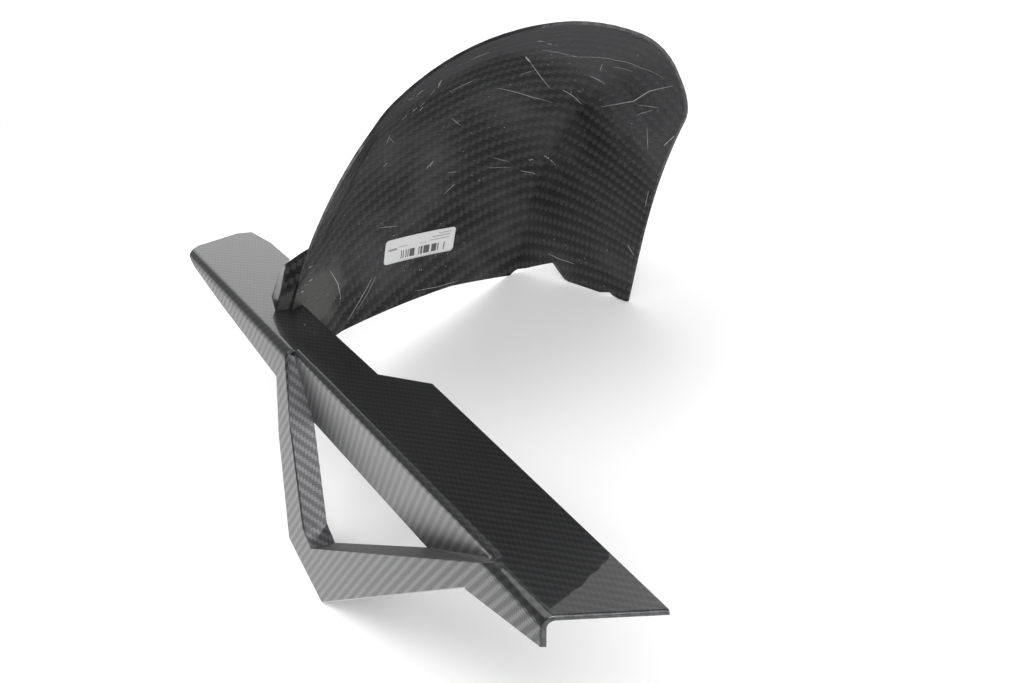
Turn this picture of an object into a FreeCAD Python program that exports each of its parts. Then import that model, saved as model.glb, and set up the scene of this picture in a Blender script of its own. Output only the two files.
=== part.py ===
"""Rear hugger fender with chain guard: one moulded carbon piece, and the blank label stuck inside it.

X points to the right, Y forward along the chain guard and Z up from the guard's top flange.
The guard's ridge is the line x = 0, z = 0 before the final placement, which puts the mouth of the
front fixing boss at the origin.
"""
import math
import os

import FreeCAD
import Part
import Sketcher

Vector = FreeCAD.Vector

SIZES = [
    ("laminate", 2.0, "thickness of the carbon laminate"),
    ("guard_length", 600.0, "ridge of the guard, near end to far end"),
    ("bend_radius", 7.0, "outer radius of the guard's long bend"),
    ("flange_end", 56.0, "top flange width at the near end"),
    ("flange_wide", 66.0, "top flange width behind the jog"),
    ("flange_narrow", 41.0, "top flange width in front of the jog"),
    ("flange_front", 67.0, "top flange width in front of the hugger wall"),
    ("end_slant", 24.0, "how far the near end's right tip runs back"),
    ("jog_rear", 265.0, "where the jog reaches the full width"),
    ("jog_front", 295.0, "where the jog leaves the narrow part"),
    ("step_rear", 443.0, "where the flange widens under the hugger wall"),
    ("step_front", 459.0, "where the flange is wide again"),
    ("front_corner", 592.0, "right corner of the far end"),
    ("front_rise", 29.0, "how far the far tip runs past the ridge"),
    ("front_tip", 50.0, "the far tip's distance from the ridge"),
    ("front_round", 12.0, "width of the cut-off corners at the far end"),
    ("side_near", 17.0, "side flange height at the near end"),
    ("side_rear", 31.0, "side flange height behind the fin"),
    ("side_front", 28.0, "side flange height in front of the fin"),
    ("side_middle", 18.0, "side flange height halfway to the far end"),
    ("side_far", 10.0, "side flange height close to the far end"),
    ("side_middle_at", 508.0, "where side_middle is taken"),
    ("side_far_at", 579.0, "where side_far is taken"),
    ("fin_rear", 82.0, "where the fin's lower edge leaves the side flange"),
    ("fin_front", 384.0, "front edge of the fin at the side flange"),
    ("fin_bulge", 388.0, "front edge of the fin at its furthest point"),
    ("fin_bulge_drop", 73.0, "drop of that point below the ridge"),
    ("fin_corner", 380.0, "upper end of the fin's cut corner"),
    ("fin_corner_drop", 154.0, "drop of that end below the ridge"),
    ("fin_tip", 314.0, "lowest point of the fin"),
    ("fin_drop", 172.0, "drop of the fin's lowest point"),
    ("recess_front", 360.0, "front edge of the fin's recess"),
    ("recess_low_front", 345.0, "front edge of the recess at its lower corner"),
    ("recess_low_drop", 129.0, "drop of that corner"),
    ("recess_bottom", 330.0, "lowest corner of the recess"),
    ("recess_drop", 137.0, "drop of the recess's lowest corner"),
    ("recess_rear", 55.0, "rear end of the recess at the ridge"),
    ("recess_inset", 5.0, "how far the ridge is set in along the recess"),
    ("recess_depth", 17.7, "depth of the window's reveal"),
    ("strip_drop", 57.0, "height of the side flange above the window"),
    ("strip_bend", 4.0, "radius of the ridge along the recess"),
    ("lip_depth", 2.7, "depth of the turned-in lip round the near end"),
    ("lip_thick", 3.5, "thickness of that lip along the guard"),
    ("near_round", 1.6, "rounding of the near end's outer edge"),
    ("wheel_y", 154.0, "wheel axis, forward of the guard's near end"),
    ("wheel_z", -135.0, "wheel axis, measured from the top flange"),
    ("crease_rear", 351.0, "hugger's creases, measured from the wheel axis"),
    ("crease_upper", 343.0, ""),
    ("crease_lower", 340.0, ""),
    ("crease_front", 340.0, ""),
    ("angle_rear", 10.0, "hugger section angles ahead of the vertical, in degrees"),
    ("angle_upper", 32.0, ""),
    ("angle_lower", 54.0, ""),
    ("angle_front", 77.0, ""),
    ("mid_rear", 130.0, "middle of the hugger, from the ridge"),
    ("mid_upper", 137.0, ""),
    ("mid_lower", 149.0, ""),
    ("mid_front", 162.5, ""),
    ("half_rear", 72.0, "half the width between the hugger's creases"),
    ("half_upper", 73.5, ""),
    ("half_lower", 76.0, ""),
    ("half_front", 76.0, ""),
    ("rise_rear", 20.0, "arch of the crown above the creases"),
    ("rise_upper", 19.0, ""),
    ("rise_lower", 13.0, ""),
    ("rise_front", 8.0, ""),
    ("left_round_rear", 30.0, "radius of the left crease"),
    ("left_round_upper", 28.0, ""),
    ("left_round_lower", 22.0, ""),
    ("left_round_front", 20.0, ""),
    ("right_round_rear", 45.0, "radius of the right crease"),
    ("right_round_upper", 26.0, ""),
    ("right_round_lower", 12.0, ""),
    ("right_round_front", 8.0, ""),
    ("left_flare_rear", 30.0, "left wall's flare from the radius, in degrees"),
    ("left_flare_upper", 44.0, ""),
    ("left_flare_lower", 58.0, ""),
    ("left_flare_front", 62.0, ""),
    ("right_flare", 22.0, "right wall's flare from the radius, in degrees"),
    ("left_depth_rear", 12.0, "depth of the left wall from its crease"),
    ("left_depth_upper", 8.0, ""),
    ("left_depth_lower", 41.0, ""),
    ("left_depth_front", 72.0, ""),
    ("right_depth_rear", 60.0, "depth of the right wall from its crease"),
    ("right_depth_upper", 105.0, ""),
    ("right_depth_lower", 122.0, ""),
    ("right_depth_front", 125.0, ""),
    ("hem_left", 46.0, "hugger's lower edge below the flange, at the left"),
    ("hem_left_at", 70.0, "distance of that point from the ridge"),
    ("hem_middle", 22.0, "hugger's lower edge in the middle"),
    ("hem_middle_at", 180.0, "distance of that point from the ridge"),
    ("hem_right", 18.0, "hugger's lower edge at the right crease"),
    ("hem_right_at", 229.0, "distance of that point from the ridge"),
    ("hem_wall", 8.0, "lower edge of the right wall"),
    ("notch_at", 243.0, "middle of the notch in the right wall"),
    ("notch_half", 7.0, "half the notch's width across the hugger"),
    ("notch_top", 6.0, "top of the notch above the flange's level"),
    ("corner_left", 57.0, "where the rear left rim leaves the wall, from the ridge"),
    ("corner_front", 340.0, "the same place, from the near end"),
    ("corner_bow", 500.0, "radius of the slanting left rim, seen from above"),
    ("corner_round", 45.0, "radius of the rim's rear turn, seen from above"),
    ("corner_x", 150.0, "rearmost point of the rim, from the ridge"),
    ("corner_rear", 217.0, "the same point, from the near end"),
    ("rim_at", 330.0, "where the right rim begins to turn, from the wheel axis"),
    ("rim_round", 30.0, "radius of that turn, seen from the side"),
    ("wall_hollow", 770.0, "radius of the right wall's hollow rear edge"),
    ("wall_rear", 354.0, "right wall's lower rear corner, from the near end"),
    ("nick_gap", 19.0, "small nick in the right wall's lower edge, from the notch"),
    ("nick_half", 2.5, "half the nick's width across the hugger"),
    ("nick_top", 4.0, "how far the nick's top stays below the flange's level"),
    ("foot_reach", 10.0, "ear on the wall's rear edge, how far it stands out over the flange"),
    ("foot_taper", 4.8, "how far the ear's side draws in at its shoulder"),
    ("foot_shoulder", 47.0, "height of the ear's shoulder along the wall's edge"),
    ("foot_height", 57.0, "height of the ear along the wall's edge"),
    ("foot_bevel", 3.0, "fall of the ear's top towards its shoulder"),
    ("foot_set", 8.0, "how far the wall's edge runs to the right over that height"),
    ("foot_x", 29.5, "wall's rear edge at the flange, from the ridge"),
    ("foot_y", 436.0, "wall's rear edge at the flange, from the near end"),
    ("foot_lean", 25.2, "lean of the wall's rear edge, in degrees"),
    ("foot_run", 13.0, "length of the ear along the guard"),
    ("foot_low", 9.0, "how far the ear's front end is set in above and below"),
    ("foot_in", 24.0, "reach of the ear's front end into the wall"),
    ("foot_bite", 1.0, "depth at which the ear ends inside the wall"),
    ("foot_clear", 7.0, "depth kept clear of the ear behind the wall"),
    ("boss_x", 33.0, "fixing bosses, distance from the ridge"),
    ("boss_rear", 160.0, "rear fixing boss, from the near end"),
    ("boss_front", 535.0, "front fixing boss, from the near end"),
    ("boss_radius", 8.0, "outer radius of a fixing boss"),
    ("boss_height", 12.0, "fixing boss, from the top of the flange to its mouth"),
    ("thread_radius", 2.5, "hole for an M6 thread"),
    ("thread_depth", 9.0, "depth of the threaded hole"),
    ("label_width", 59.0, "label, across the hugger"),
    ("label_height", 23.0, "label, along the wall"),
    ("label_x", 145.6, "label's middle, from the ridge"),
    ("label_z", 22.9, "label's middle, above the flange's level"),
    ("label_turn", 3.5, "label's slope, in degrees"),
    ("label_round", 3.0, "label's corner radius"),
    ("label_film", 0.3, "glue film between the wall and the label"),
    ("label_thick", 0.3, "label's thickness"),
    ("beyond", 60.0, "how far cutting shapes run past what they cut"),
]

doc = FreeCAD.newDocument("fender")
sheet = doc.addObject("Spreadsheet::Sheet", "sizes")
for row, (alias, number, note) in enumerate(SIZES, start=1):
    sheet.set(f"A{row}", str(number))
    sheet.setAlias(f"A{row}", alias)
    sheet.set(f"B{row}", note)
doc.recompute()

VALUE = {alias: number for alias, number, note in SIZES}
ACROSS = FreeCAD.Rotation(Vector(1, 0, 0), 90)
ALONG = FreeCAD.Rotation(Vector(1, 1, 1), 120)
FLAT = FreeCAD.Rotation()


def total(terms):
    """Value of a sum of named sizes, given as (sign, name) pairs."""
    return sum(sign * VALUE[name] for sign, name in terms)


def formula(terms):
    """The same sum as an expression on the sheet, or 0 for an empty one."""
    if not terms:
        return "0"
    return " + ".join(f"{sign} * sizes.{name}" for sign, name in terms)


def plus(*names):
    return [(1, name) for name in names]


def minus(*names):
    return [(-1, name) for name in names]


def pin(sketch, geo, end, across, up):
    """Fixes a point of a sketch at two sums of named sizes."""
    for kind, terms in (("DistanceX", across), ("DistanceY", up)):
        number = total(terms)
        sign = 1 if number >= 0 else -1
        if sign > 0:
            made = Sketcher.Constraint(kind, -1, 1, geo, end, number)
        else:
            made = Sketcher.Constraint(kind, geo, end, -1, 1, -number)
        index = sketch.addConstraint(made)
        sketch.setExpression(f"Constraints[{index}]", f"{sign} * ({formula(terms)})")


def bind(sketch, made, expression):
    index = sketch.addConstraint(made)
    sketch.setExpression(f"Constraints[{index}]", expression)


def new_sketch(label, turn):
    sketch = doc.addObject("Sketcher::SketchObject", label)
    sketch.Placement = FreeCAD.Placement(Vector(), turn)
    return sketch


def outline(label, turn, corners):
    """A closed outline of straight edges with every corner pinned to the sheet."""
    sketch = new_sketch(label, turn)
    spots = [Vector(total(across), total(up), 0) for across, up in corners]
    count = len(spots)
    for i in range(count):
        sketch.addGeometry(Part.LineSegment(spots[i], spots[(i + 1) % count]), False)
    for i in range(count):
        sketch.addConstraint(Sketcher.Constraint("Coincident", i, 2, (i + 1) % count, 1))
    for i, (across, up) in enumerate(corners):
        pin(sketch, i, 1, across, up)
    return sketch


def prism(label, sketch, direction, ahead, back):
    """A solid drawn out of a sketch along a direction, ahead of it and back."""
    solid = doc.addObject("Part::Extrusion", label)
    solid.Base = sketch
    solid.DirMode = "Custom"
    solid.Dir = direction
    solid.Solid = True
    solid.setExpression("LengthFwd", formula(ahead))
    solid.setExpression("LengthRev", formula(back))
    return solid


def common(label, shapes):
    joined = doc.addObject("Part::MultiCommon", label)
    joined.Shapes = shapes
    return joined


def cut(label, base, tool):
    left = doc.addObject("Part::Cut", label)
    left.Base = base
    left.Tool = tool
    return left


X_WAY = Vector(1, 0, 0)
Y_WAY = Vector(0, 1, 0)
Z_WAY = Vector(0, 0, 1)
NONE = []
NEARLY = 0.01
PAST = plus("beyond")
BEFORE = minus("beyond")

# Guard: a bent sheet, trimmed in plan and in side view
wide = VALUE["flange_front"] + VALUE["beyond"]
deep = VALUE["fin_drop"] + VALUE["beyond"]


def bend_section(label, gauge_name):
    """Section across the guard's long bend, as thick as a named size."""
    bent = new_sketch(label, ACROSS)
    thick = VALUE[gauge_name]
    bend = VALUE["bend_radius"]
    hub = Vector(bend, -bend, 0)
    quarter = (math.pi / 2, math.pi)
    bent.addGeometry(Part.LineSegment(Vector(wide, 0, 0), Vector(bend, 0, 0)), False)
    bent.addGeometry(Part.ArcOfCircle(Part.Circle(hub, Z_WAY, bend), *quarter), False)
    bent.addGeometry(Part.LineSegment(Vector(0, -bend, 0), Vector(0, -deep, 0)), False)
    bent.addGeometry(Part.LineSegment(Vector(0, -deep, 0), Vector(thick, -deep, 0)), False)
    bent.addGeometry(Part.LineSegment(Vector(thick, -deep, 0), Vector(thick, -bend, 0)), False)
    bent.addGeometry(Part.ArcOfCircle(Part.Circle(hub, Z_WAY, bend - thick), *quarter), False)
    bent.addGeometry(Part.LineSegment(Vector(bend, -thick, 0), Vector(wide, -thick, 0)), False)
    bent.addGeometry(Part.LineSegment(Vector(wide, -thick, 0), Vector(wide, 0, 0)), False)
    for first, end, second, start in (
        (0, 2, 1, 1),
        (1, 2, 2, 1),
        (4, 2, 5, 2),
        (5, 1, 6, 1),
    ):
        bent.addConstraint(Sketcher.Constraint("Tangent", first, end, second, start))
    for first, second in ((2, 3), (3, 4), (6, 7), (7, 0)):
        bent.addConstraint(Sketcher.Constraint("Coincident", first, 2, second, 1))
    for level in (0, 3, 6):
        bent.addConstraint(Sketcher.Constraint("Horizontal", level))
    for upright in (4, 7):
        bent.addConstraint(Sketcher.Constraint("Vertical", upright))
    pin(bent, 0, 1, plus("flange_front", "beyond"), NONE)
    pin(bent, 2, 2, NONE, minus("fin_drop", "beyond"))
    bind(bent, Sketcher.Constraint("Radius", 1, bend), "sizes.bend_radius")
    bent.addConstraint(Sketcher.Constraint("Coincident", 1, 3, 5, 3))
    bind(bent, Sketcher.Constraint("DistanceY", 7, 1, 7, 2, thick), f"sizes.{gauge_name}")
    return bent


guard_bend = bend_section("guard_bend", "laminate")
bent_sheet = prism("bent_sheet", guard_bend, Y_WAY, plus("guard_length", "beyond"), PAST)

plan = outline("plan_outline", FLAT, [
    (minus("laminate"), NONE),
    (plus("flange_end"), minus("end_slant")),
    (plus("flange_wide"), plus("jog_rear")),
    (plus("flange_narrow"), plus("jog_front")),
    (plus("flange_narrow"), plus("step_rear")),
    (plus("flange_front"), plus("step_front")),
    (plus("flange_front"), plus("front_corner")),
    (plus("front_tip", "front_round"), plus("guard_length", "front_rise") + minus("laminate")),
    (plus("front_tip"), plus("guard_length", "front_rise")),
    (plus("front_round"), plus("guard_length", "front_round")),
    (minus("laminate"), plus("guard_length") + minus("laminate")),
])
plan_block = prism("plan_block", plan, Z_WAY, PAST, plus("fin_drop", "beyond"))

side = outline("side_outline", ALONG, [
    (BEFORE, PAST),
    (BEFORE, minus("side_near")),
    (NONE, minus("side_near")),
    (plus("fin_rear"), minus("side_rear")),
    (plus("fin_tip"), minus("fin_drop")),
    (plus("fin_corner"), minus("fin_corner_drop")),
    (plus("fin_bulge"), minus("fin_bulge_drop")),
    (plus("fin_front"), minus("side_front")),
    (plus("side_middle_at"), minus("side_middle")),
    (plus("side_far_at"), minus("side_far")),
    (plus("guard_length"), minus("laminate", "laminate")),
    (plus("guard_length", "beyond"), minus("laminate", "laminate")),
    (plus("guard_length", "beyond"), PAST),
])
side_block = prism("side_block", side, X_WAY, plus("flange_front", "beyond"), PAST)
guard_sheet = common("guard_sheet", [bent_sheet, plan_block, side_block])

# Recess in the fin, with a set-in ridge, a leaning strip and the window's reveal
recess = outline("recess_outline", ALONG, [
    (plus("recess_rear"), NONE),
    (plus("recess_bottom"), minus("recess_drop")),
    (plus("recess_low_front"), minus("recess_low_drop")),
    (plus("recess_front"), minus("strip_drop")),
    (plus("recess_front"), PAST),
    (plus("recess_rear"), PAST),
])
recess_block = prism("recess_block", recess, X_WAY, plus("flange_front"), PAST)
pan = outline("pan_outline", ALONG, [
    (plus("recess_rear") + minus("laminate", "laminate"), NONE),
    (plus("recess_bottom"), minus("recess_drop", "laminate")),
    (plus("recess_low_front", "laminate"), minus("recess_low_drop", "laminate")),
    (plus("recess_front", "laminate"), minus("strip_drop")),
    (plus("recess_front", "laminate"), NONE),
])
pan_block = prism("pan_block", pan, X_WAY, plus("flange_front"), NONE)

lean = (VALUE["recess_depth"] - VALUE["recess_inset"]) / VALUE["strip_drop"]
tilt = math.atan(lean)
strip = VALUE["strip_bend"]
inset = VALUE["recess_inset"]
drop = VALUE["strip_drop"]
depth = VALUE["recess_depth"]
run = strip * math.tan((math.pi / 2 - tilt) / 2)
turn_hub = Vector(inset + run, -strip, 0)
hollow = new_sketch("hollow_section", ACROSS)
far = VALUE["beyond"]
foot_end = turn_hub + Vector(-strip * math.cos(tilt), -strip * math.sin(tilt), 0)
ridge_turn = (math.pi / 2, math.pi + tilt)
hollow.addGeometry(Part.ArcOfCircle(Part.Circle(turn_hub, Z_WAY, strip), *ridge_turn), False)
hollow.addGeometry(Part.LineSegment(Vector(depth, -drop, 0), foot_end), False)
hollow.addGeometry(Part.LineSegment(Vector(depth, -drop, 0), Vector(depth, -deep, 0)), False)
hollow.addGeometry(Part.LineSegment(Vector(depth, -deep, 0), Vector(-far, -deep, 0)), False)
hollow.addGeometry(Part.LineSegment(Vector(-far, -deep, 0), Vector(-far, far, 0)), False)
hollow.addGeometry(Part.LineSegment(Vector(-far, far, 0), Vector(turn_hub.x, far, 0)), False)
hollow.addGeometry(Part.LineSegment(Vector(turn_hub.x, far, 0), Vector(turn_hub.x, 0, 0)), False)
hollow.addConstraint(Sketcher.Constraint("Tangent", 0, 2, 1, 2))
hollow.addConstraint(Sketcher.Constraint("Coincident", 1, 1, 2, 1))
for first, second in ((2, 3), (3, 4), (4, 5), (5, 6)):
    hollow.addConstraint(Sketcher.Constraint("Coincident", first, 2, second, 1))
hollow.addConstraint(Sketcher.Constraint("Coincident", 6, 2, 0, 1))
for level in (3, 5):
    hollow.addConstraint(Sketcher.Constraint("Horizontal", level))
for upright in (2, 4, 6):
    hollow.addConstraint(Sketcher.Constraint("Vertical", upright))
pin(hollow, 1, 1, plus("recess_depth"), minus("strip_drop"))
pin(hollow, 3, 2, BEFORE, minus("fin_drop", "beyond"))
ceiling = hollow.addConstraint(Sketcher.Constraint("DistanceY", -1, 1, 5, 1, far))
hollow.setExpression(f"Constraints[{ceiling}]", "sizes.beyond")
curl = hollow.addConstraint(Sketcher.Constraint("Radius", 0, strip))
hollow.setExpression(f"Constraints[{curl}]", "sizes.strip_bend")
hollow.addConstraint(Sketcher.Constraint("Vertical", 0, 3, 0, 1))
hollow.addConstraint(Sketcher.Constraint("PointOnObject", 0, 1, -1))
slope = hollow.addConstraint(Sketcher.Constraint("Angle", 1, math.pi / 2 + tilt))
hollow.setExpression(
    f"Constraints[{slope}]",
    "90deg + atan((sizes.recess_depth - sizes.recess_inset) / sizes.strip_drop)",
)
hollow_block = prism("hollow_block", hollow, Y_WAY, plus("guard_length", "beyond"), PAST)
recess_void = common("recess_void", [recess_block, hollow_block])

back = outline("back_section", ACROSS, [
    (NONE, NONE),
    (plus("recess_inset", "strip_bend", "strip_bend"), NONE),
    (plus("recess_inset", "strip_bend", "strip_bend"), minus("laminate")),
    (plus("recess_inset", "strip_bend"), minus("strip_bend")),
    (plus("recess_depth", "laminate"), minus("strip_drop")),
    (plus("recess_depth"), minus("strip_drop")),
    (plus("recess_depth"), minus("fin_drop")),
    (NONE, minus("fin_drop")),
])
back_block = prism("back_block", back, Y_WAY, plus("guard_length"), NONE)
pan_solid = common("pan_solid", [pan_block, back_block])
pan_sheet = cut("pan_sheet", pan_solid, recess_void)
guard_open = cut("guard_open", guard_sheet, recess_void)

# Turned-in lip round the near end, with a rounded outer edge
lip_sheet = prism("lip_sheet", bend_section("lip_bend", "lip_depth"), Y_WAY, PAST, PAST)
lip_plan = outline("lip_plan", FLAT, [
    (minus("laminate"), NONE),
    (plus("flange_end"), minus("end_slant")),
    (plus("flange_end"), minus("end_slant") + plus("lip_thick")),
    (minus("laminate"), plus("lip_thick")),
])
lip_strip = prism("lip_strip", lip_plan, Z_WAY, PAST, PAST)
lip = common("near_lip", [lip_sheet, lip_strip, plan_block, side_block])
guard_lipped = doc.addObject("Part::MultiFuse", "guard_lipped")
guard_lipped.Shapes = [guard_open, lip]
guard_lipped.Refine = True
doc.recompute()


def on_near_edge(point):
    """Whether a point lies on the outer edge of the slanting near end."""
    slant = VALUE["end_slant"] / (VALUE["flange_end"] + VALUE["laminate"])
    in_plane = abs(point.y + slant * (point.x + VALUE["laminate"])) < NEARLY
    bend = VALUE["bend_radius"]
    if point.x < bend and point.z > -bend:
        return in_plane and abs(math.hypot(point.x - bend, point.z + bend) - bend) < NEARLY
    return in_plane and (abs(point.z) < NEARLY or abs(point.x) < NEARLY)


guard_rounded = doc.addObject("Part::Fillet", "guard_rounded")
guard_rounded.Base = guard_lipped
guard_rounded.Edges = [
    (number, VALUE["near_round"], VALUE["near_round"])
    for number, edge in enumerate(guard_lipped.Shape.Edges, start=1)
    if all(on_near_edge(point) for point in edge.discretize(5))
]


def wheel_section(label, place, outer, inner):
    """Closed section of the hugger at one angle about the wheel axis, between two depths of laminate."""
    sketch = doc.addObject("Sketcher::SketchObject", label)
    angle = 90 - VALUE["angle_" + place]
    sketch.Placement = FreeCAD.Placement(
        Vector(0, VALUE["wheel_y"], VALUE["wheel_z"]), FreeCAD.Rotation(X_WAY, angle))
    sketch.setExpression("Placement.Base.y", "sizes.wheel_y")
    sketch.setExpression("Placement.Base.z", "sizes.wheel_z")
    sketch.setExpression("Placement.Rotation.Angle", f"90 - sizes.angle_{place}")
    mid = VALUE["mid_" + place]
    half = VALUE["half_" + place]
    rise = VALUE["rise_" + place]
    rim = VALUE["crease_" + place]
    arch = (half * half + rise * rise) / (2 * rise)
    centre = Vector(mid, rim + rise - arch, 0)
    flares = {1: math.radians(VALUE["right_flare"]), -1: math.radians(VALUE["left_flare_" + place])}
    rounds = {1: VALUE["right_round_" + place], -1: VALUE["left_round_" + place]}
    depths = {1: VALUE["right_depth_" + place], -1: VALUE["left_depth_" + place]}
    lines = {}
    arcs = {}
    crowns = {}
    for layer, offset in ((0, total(outer)), (1, total(inner))):
        ends = {}
        for hand in (1, -1):
            way = Vector(hand * math.sin(flares[hand]), -math.cos(flares[hand]), 0)
            out = Vector(hand * math.cos(flares[hand]), math.sin(flares[hand]), 0)
            crease = Vector(mid + hand * half, rim, 0)
            arm = crease - out * rounds[hand] - centre
            half_b = arm.dot(way)
            gap = half_b * half_b - arm.dot(arm) + (arch - rounds[hand]) ** 2
            knuckle = centre + arm + way * (-half_b - math.sqrt(gap))
            radius = rounds[hand] - offset
            spoke = (knuckle - centre).normalize()
            on_crown = knuckle + spoke * radius
            on_wall = knuckle + out * radius
            tip = crease + way * depths[hand] - out * offset
            lines[hand, layer] = sketch.addGeometry(Part.LineSegment(tip, on_wall), False)
            angles = [math.atan2(out.y, out.x), math.atan2(spoke.y, spoke.x)]
            arcs[hand, layer] = sketch.addGeometry(
                Part.ArcOfCircle(Part.Circle(knuckle, Z_WAY, radius), min(angles), max(angles)), False)
            ends[hand] = math.atan2(spoke.y, spoke.x)
            joint = 1 if hand > 0 else 2
            sketch.addConstraint(Sketcher.Constraint(
                "Tangent", lines[hand, layer], 2, arcs[hand, layer], joint))
        crowns[layer] = sketch.addGeometry(
            Part.ArcOfCircle(Part.Circle(centre, Z_WAY, arch - offset), ends[1], ends[-1]), False)
        sketch.addConstraint(Sketcher.Constraint("Tangent", arcs[1, layer], 2, crowns[layer], 1))
        sketch.addConstraint(Sketcher.Constraint("Tangent", crowns[layer], 2, arcs[-1, layer], 1))
    arch_rule = f"((sizes.half_{place} ^ 2 + sizes.rise_{place} ^ 2) / (2 * sizes.rise_{place}))"
    for layer, terms in ((0, outer), (1, inner)):
        depth_rule = f"({formula(terms)})"
        offset = total(terms)
        bind(sketch, Sketcher.Constraint("Radius", crowns[layer], arch - offset),
             f"{arch_rule} - {depth_rule}")
        for hand, side_name in ((1, "right"), (-1, "left")):
            bind(sketch, Sketcher.Constraint("Radius", arcs[hand, layer], rounds[hand] - offset),
                 f"sizes.{side_name}_round_{place} - {depth_rule}")
    bind(sketch, Sketcher.Constraint("DistanceX", -1, 1, crowns[0], 3, mid), f"sizes.mid_{place}")
    height = centre.y
    height_rule = f"sizes.crease_{place} + sizes.rise_{place} - {arch_rule}"
    if height >= 0:
        bind(sketch, Sketcher.Constraint("DistanceY", -1, 1, crowns[0], 3, height), height_rule)
    else:
        bind(sketch, Sketcher.Constraint("DistanceY", crowns[0], 3, -1, 1, -height), f"-({height_rule})")
    sketch.addConstraint(Sketcher.Constraint("Coincident", crowns[0], 3, crowns[1], 3))
    skin = total(inner) - total(outer)
    skin_rule = f"({formula(inner)}) - ({formula(outer)})"
    start_rule = f"({formula(outer)})"
    for hand, side_name, flare_name in (
        (1, "right", "right_flare"),
        (-1, "left", f"left_flare_{place}"),
    ):
        line = lines[hand, 0]
        tip = sketch.Geometry[line].StartPoint
        lean_rule = f"(sizes.{flare_name} * 1deg)"
        reach = f"sizes.{side_name}_depth_{place} * sin{lean_rule} - {start_rule} * cos{lean_rule}"
        fall = f"sizes.{side_name}_depth_{place} * cos{lean_rule} + {start_rule} * sin{lean_rule}"
        bind(sketch, Sketcher.Constraint("DistanceX", -1, 1, line, 1, tip.x),
             f"sizes.mid_{place} + {hand} * (sizes.half_{place} + {reach})")
        bind(sketch, Sketcher.Constraint("DistanceY", -1, 1, line, 1, tip.y),
             f"sizes.crease_{place} - ({fall})")
        bind(sketch, Sketcher.Constraint("Angle", line, math.pi / 2 + hand * flares[hand]),
             f"90deg + {hand} * {lean_rule}")
        sketch.addConstraint(Sketcher.Constraint("Parallel", line, lines[hand, 1]))
        cap = sketch.addGeometry(Part.LineSegment(tip, sketch.Geometry[lines[hand, 1]].StartPoint), False)
        sketch.addConstraint(Sketcher.Constraint("Coincident", cap, 1, line, 1))
        sketch.addConstraint(Sketcher.Constraint("Coincident", cap, 2, lines[hand, 1], 1))
        sketch.addConstraint(Sketcher.Constraint("Perpendicular", cap, line))
        bind(sketch, Sketcher.Constraint("Distance", cap, skin), skin_rule)
    return sketch


PLACES = ("rear", "upper", "lower", "front")


def wheel_loft(label, outer, inner):
    solid = doc.addObject("Part::Loft", label)
    solid.Sections = [wheel_section(f"{label}_{place}", place, outer, inner) for place in PLACES]
    solid.Solid = True
    solid.Ruled = False
    return solid


# Hugger: a loft about the wheel axis, with its lower edge cut to shape
hugger_loft = wheel_loft("hugger_loft", NONE, plus("laminate"))
hem = outline("hem_outline", ACROSS, [
    (BEFORE, minus("fin_drop")),
    (plus("notch_at", "nick_gap", "beyond"), minus("fin_drop")),
    (plus("notch_at", "nick_gap", "beyond"), minus("hem_wall")),
    (plus("notch_at", "nick_gap", "nick_half"), minus("hem_wall")),
    (plus("notch_at", "nick_gap"), minus("nick_top")),
    (plus("notch_at", "nick_gap") + minus("nick_half"), minus("hem_wall")),
    (plus("notch_at", "notch_half"), minus("hem_wall")),
    (plus("notch_at"), plus("notch_top")),
    (plus("notch_at") + minus("notch_half"), minus("hem_wall")),
    (plus("hem_right_at"), minus("hem_right")),
    (plus("hem_middle_at"), minus("hem_middle")),
    (plus("hem_left_at"), minus("hem_left")),
    (BEFORE, minus("hem_left", "laminate")),
])
hem_block = prism("hem_block", hem, Y_WAY, plus("guard_length"), NONE)
hugger_hemmed = cut("hugger_hemmed", hugger_loft, hem_block)


def meeting(first, first_reach, second, second_reach):
    """The point at two distances from two middles, on the left of the way from the first to the second."""
    way = second - first
    span = way.Length
    along = (first_reach ** 2 - second_reach ** 2 + span ** 2) / (2 * span)
    aside = math.sqrt(first_reach ** 2 - along ** 2)
    way.normalize()
    return first + way * along + Vector(-way.y, way.x, 0) * aside


def arc_between(sketch, centre, radius, start, stop):
    """Adds an arc that runs anticlockwise from one point to another."""
    sweep = [math.atan2(spot.y - centre.y, spot.x - centre.x) for spot in (start, stop)]
    return sketch.addGeometry(Part.ArcOfCircle(Part.Circle(centre, Z_WAY, radius), *sweep), False)


def close_off(sketch, spots, links, uprights, levels):
    """Adds straight edges through the spots, joins ends and sets which edges are upright or level."""
    for start, stop in zip(spots, spots[1:]):
        sketch.addGeometry(Part.LineSegment(start, stop), False)
    for first, first_end, second, second_end in links:
        sketch.addConstraint(Sketcher.Constraint("Coincident", first, first_end, second, second_end))
    for upright in uprights:
        sketch.addConstraint(Sketcher.Constraint("Vertical", upright))
    for level in levels:
        sketch.addConstraint(Sketcher.Constraint("Horizontal", level))


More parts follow.
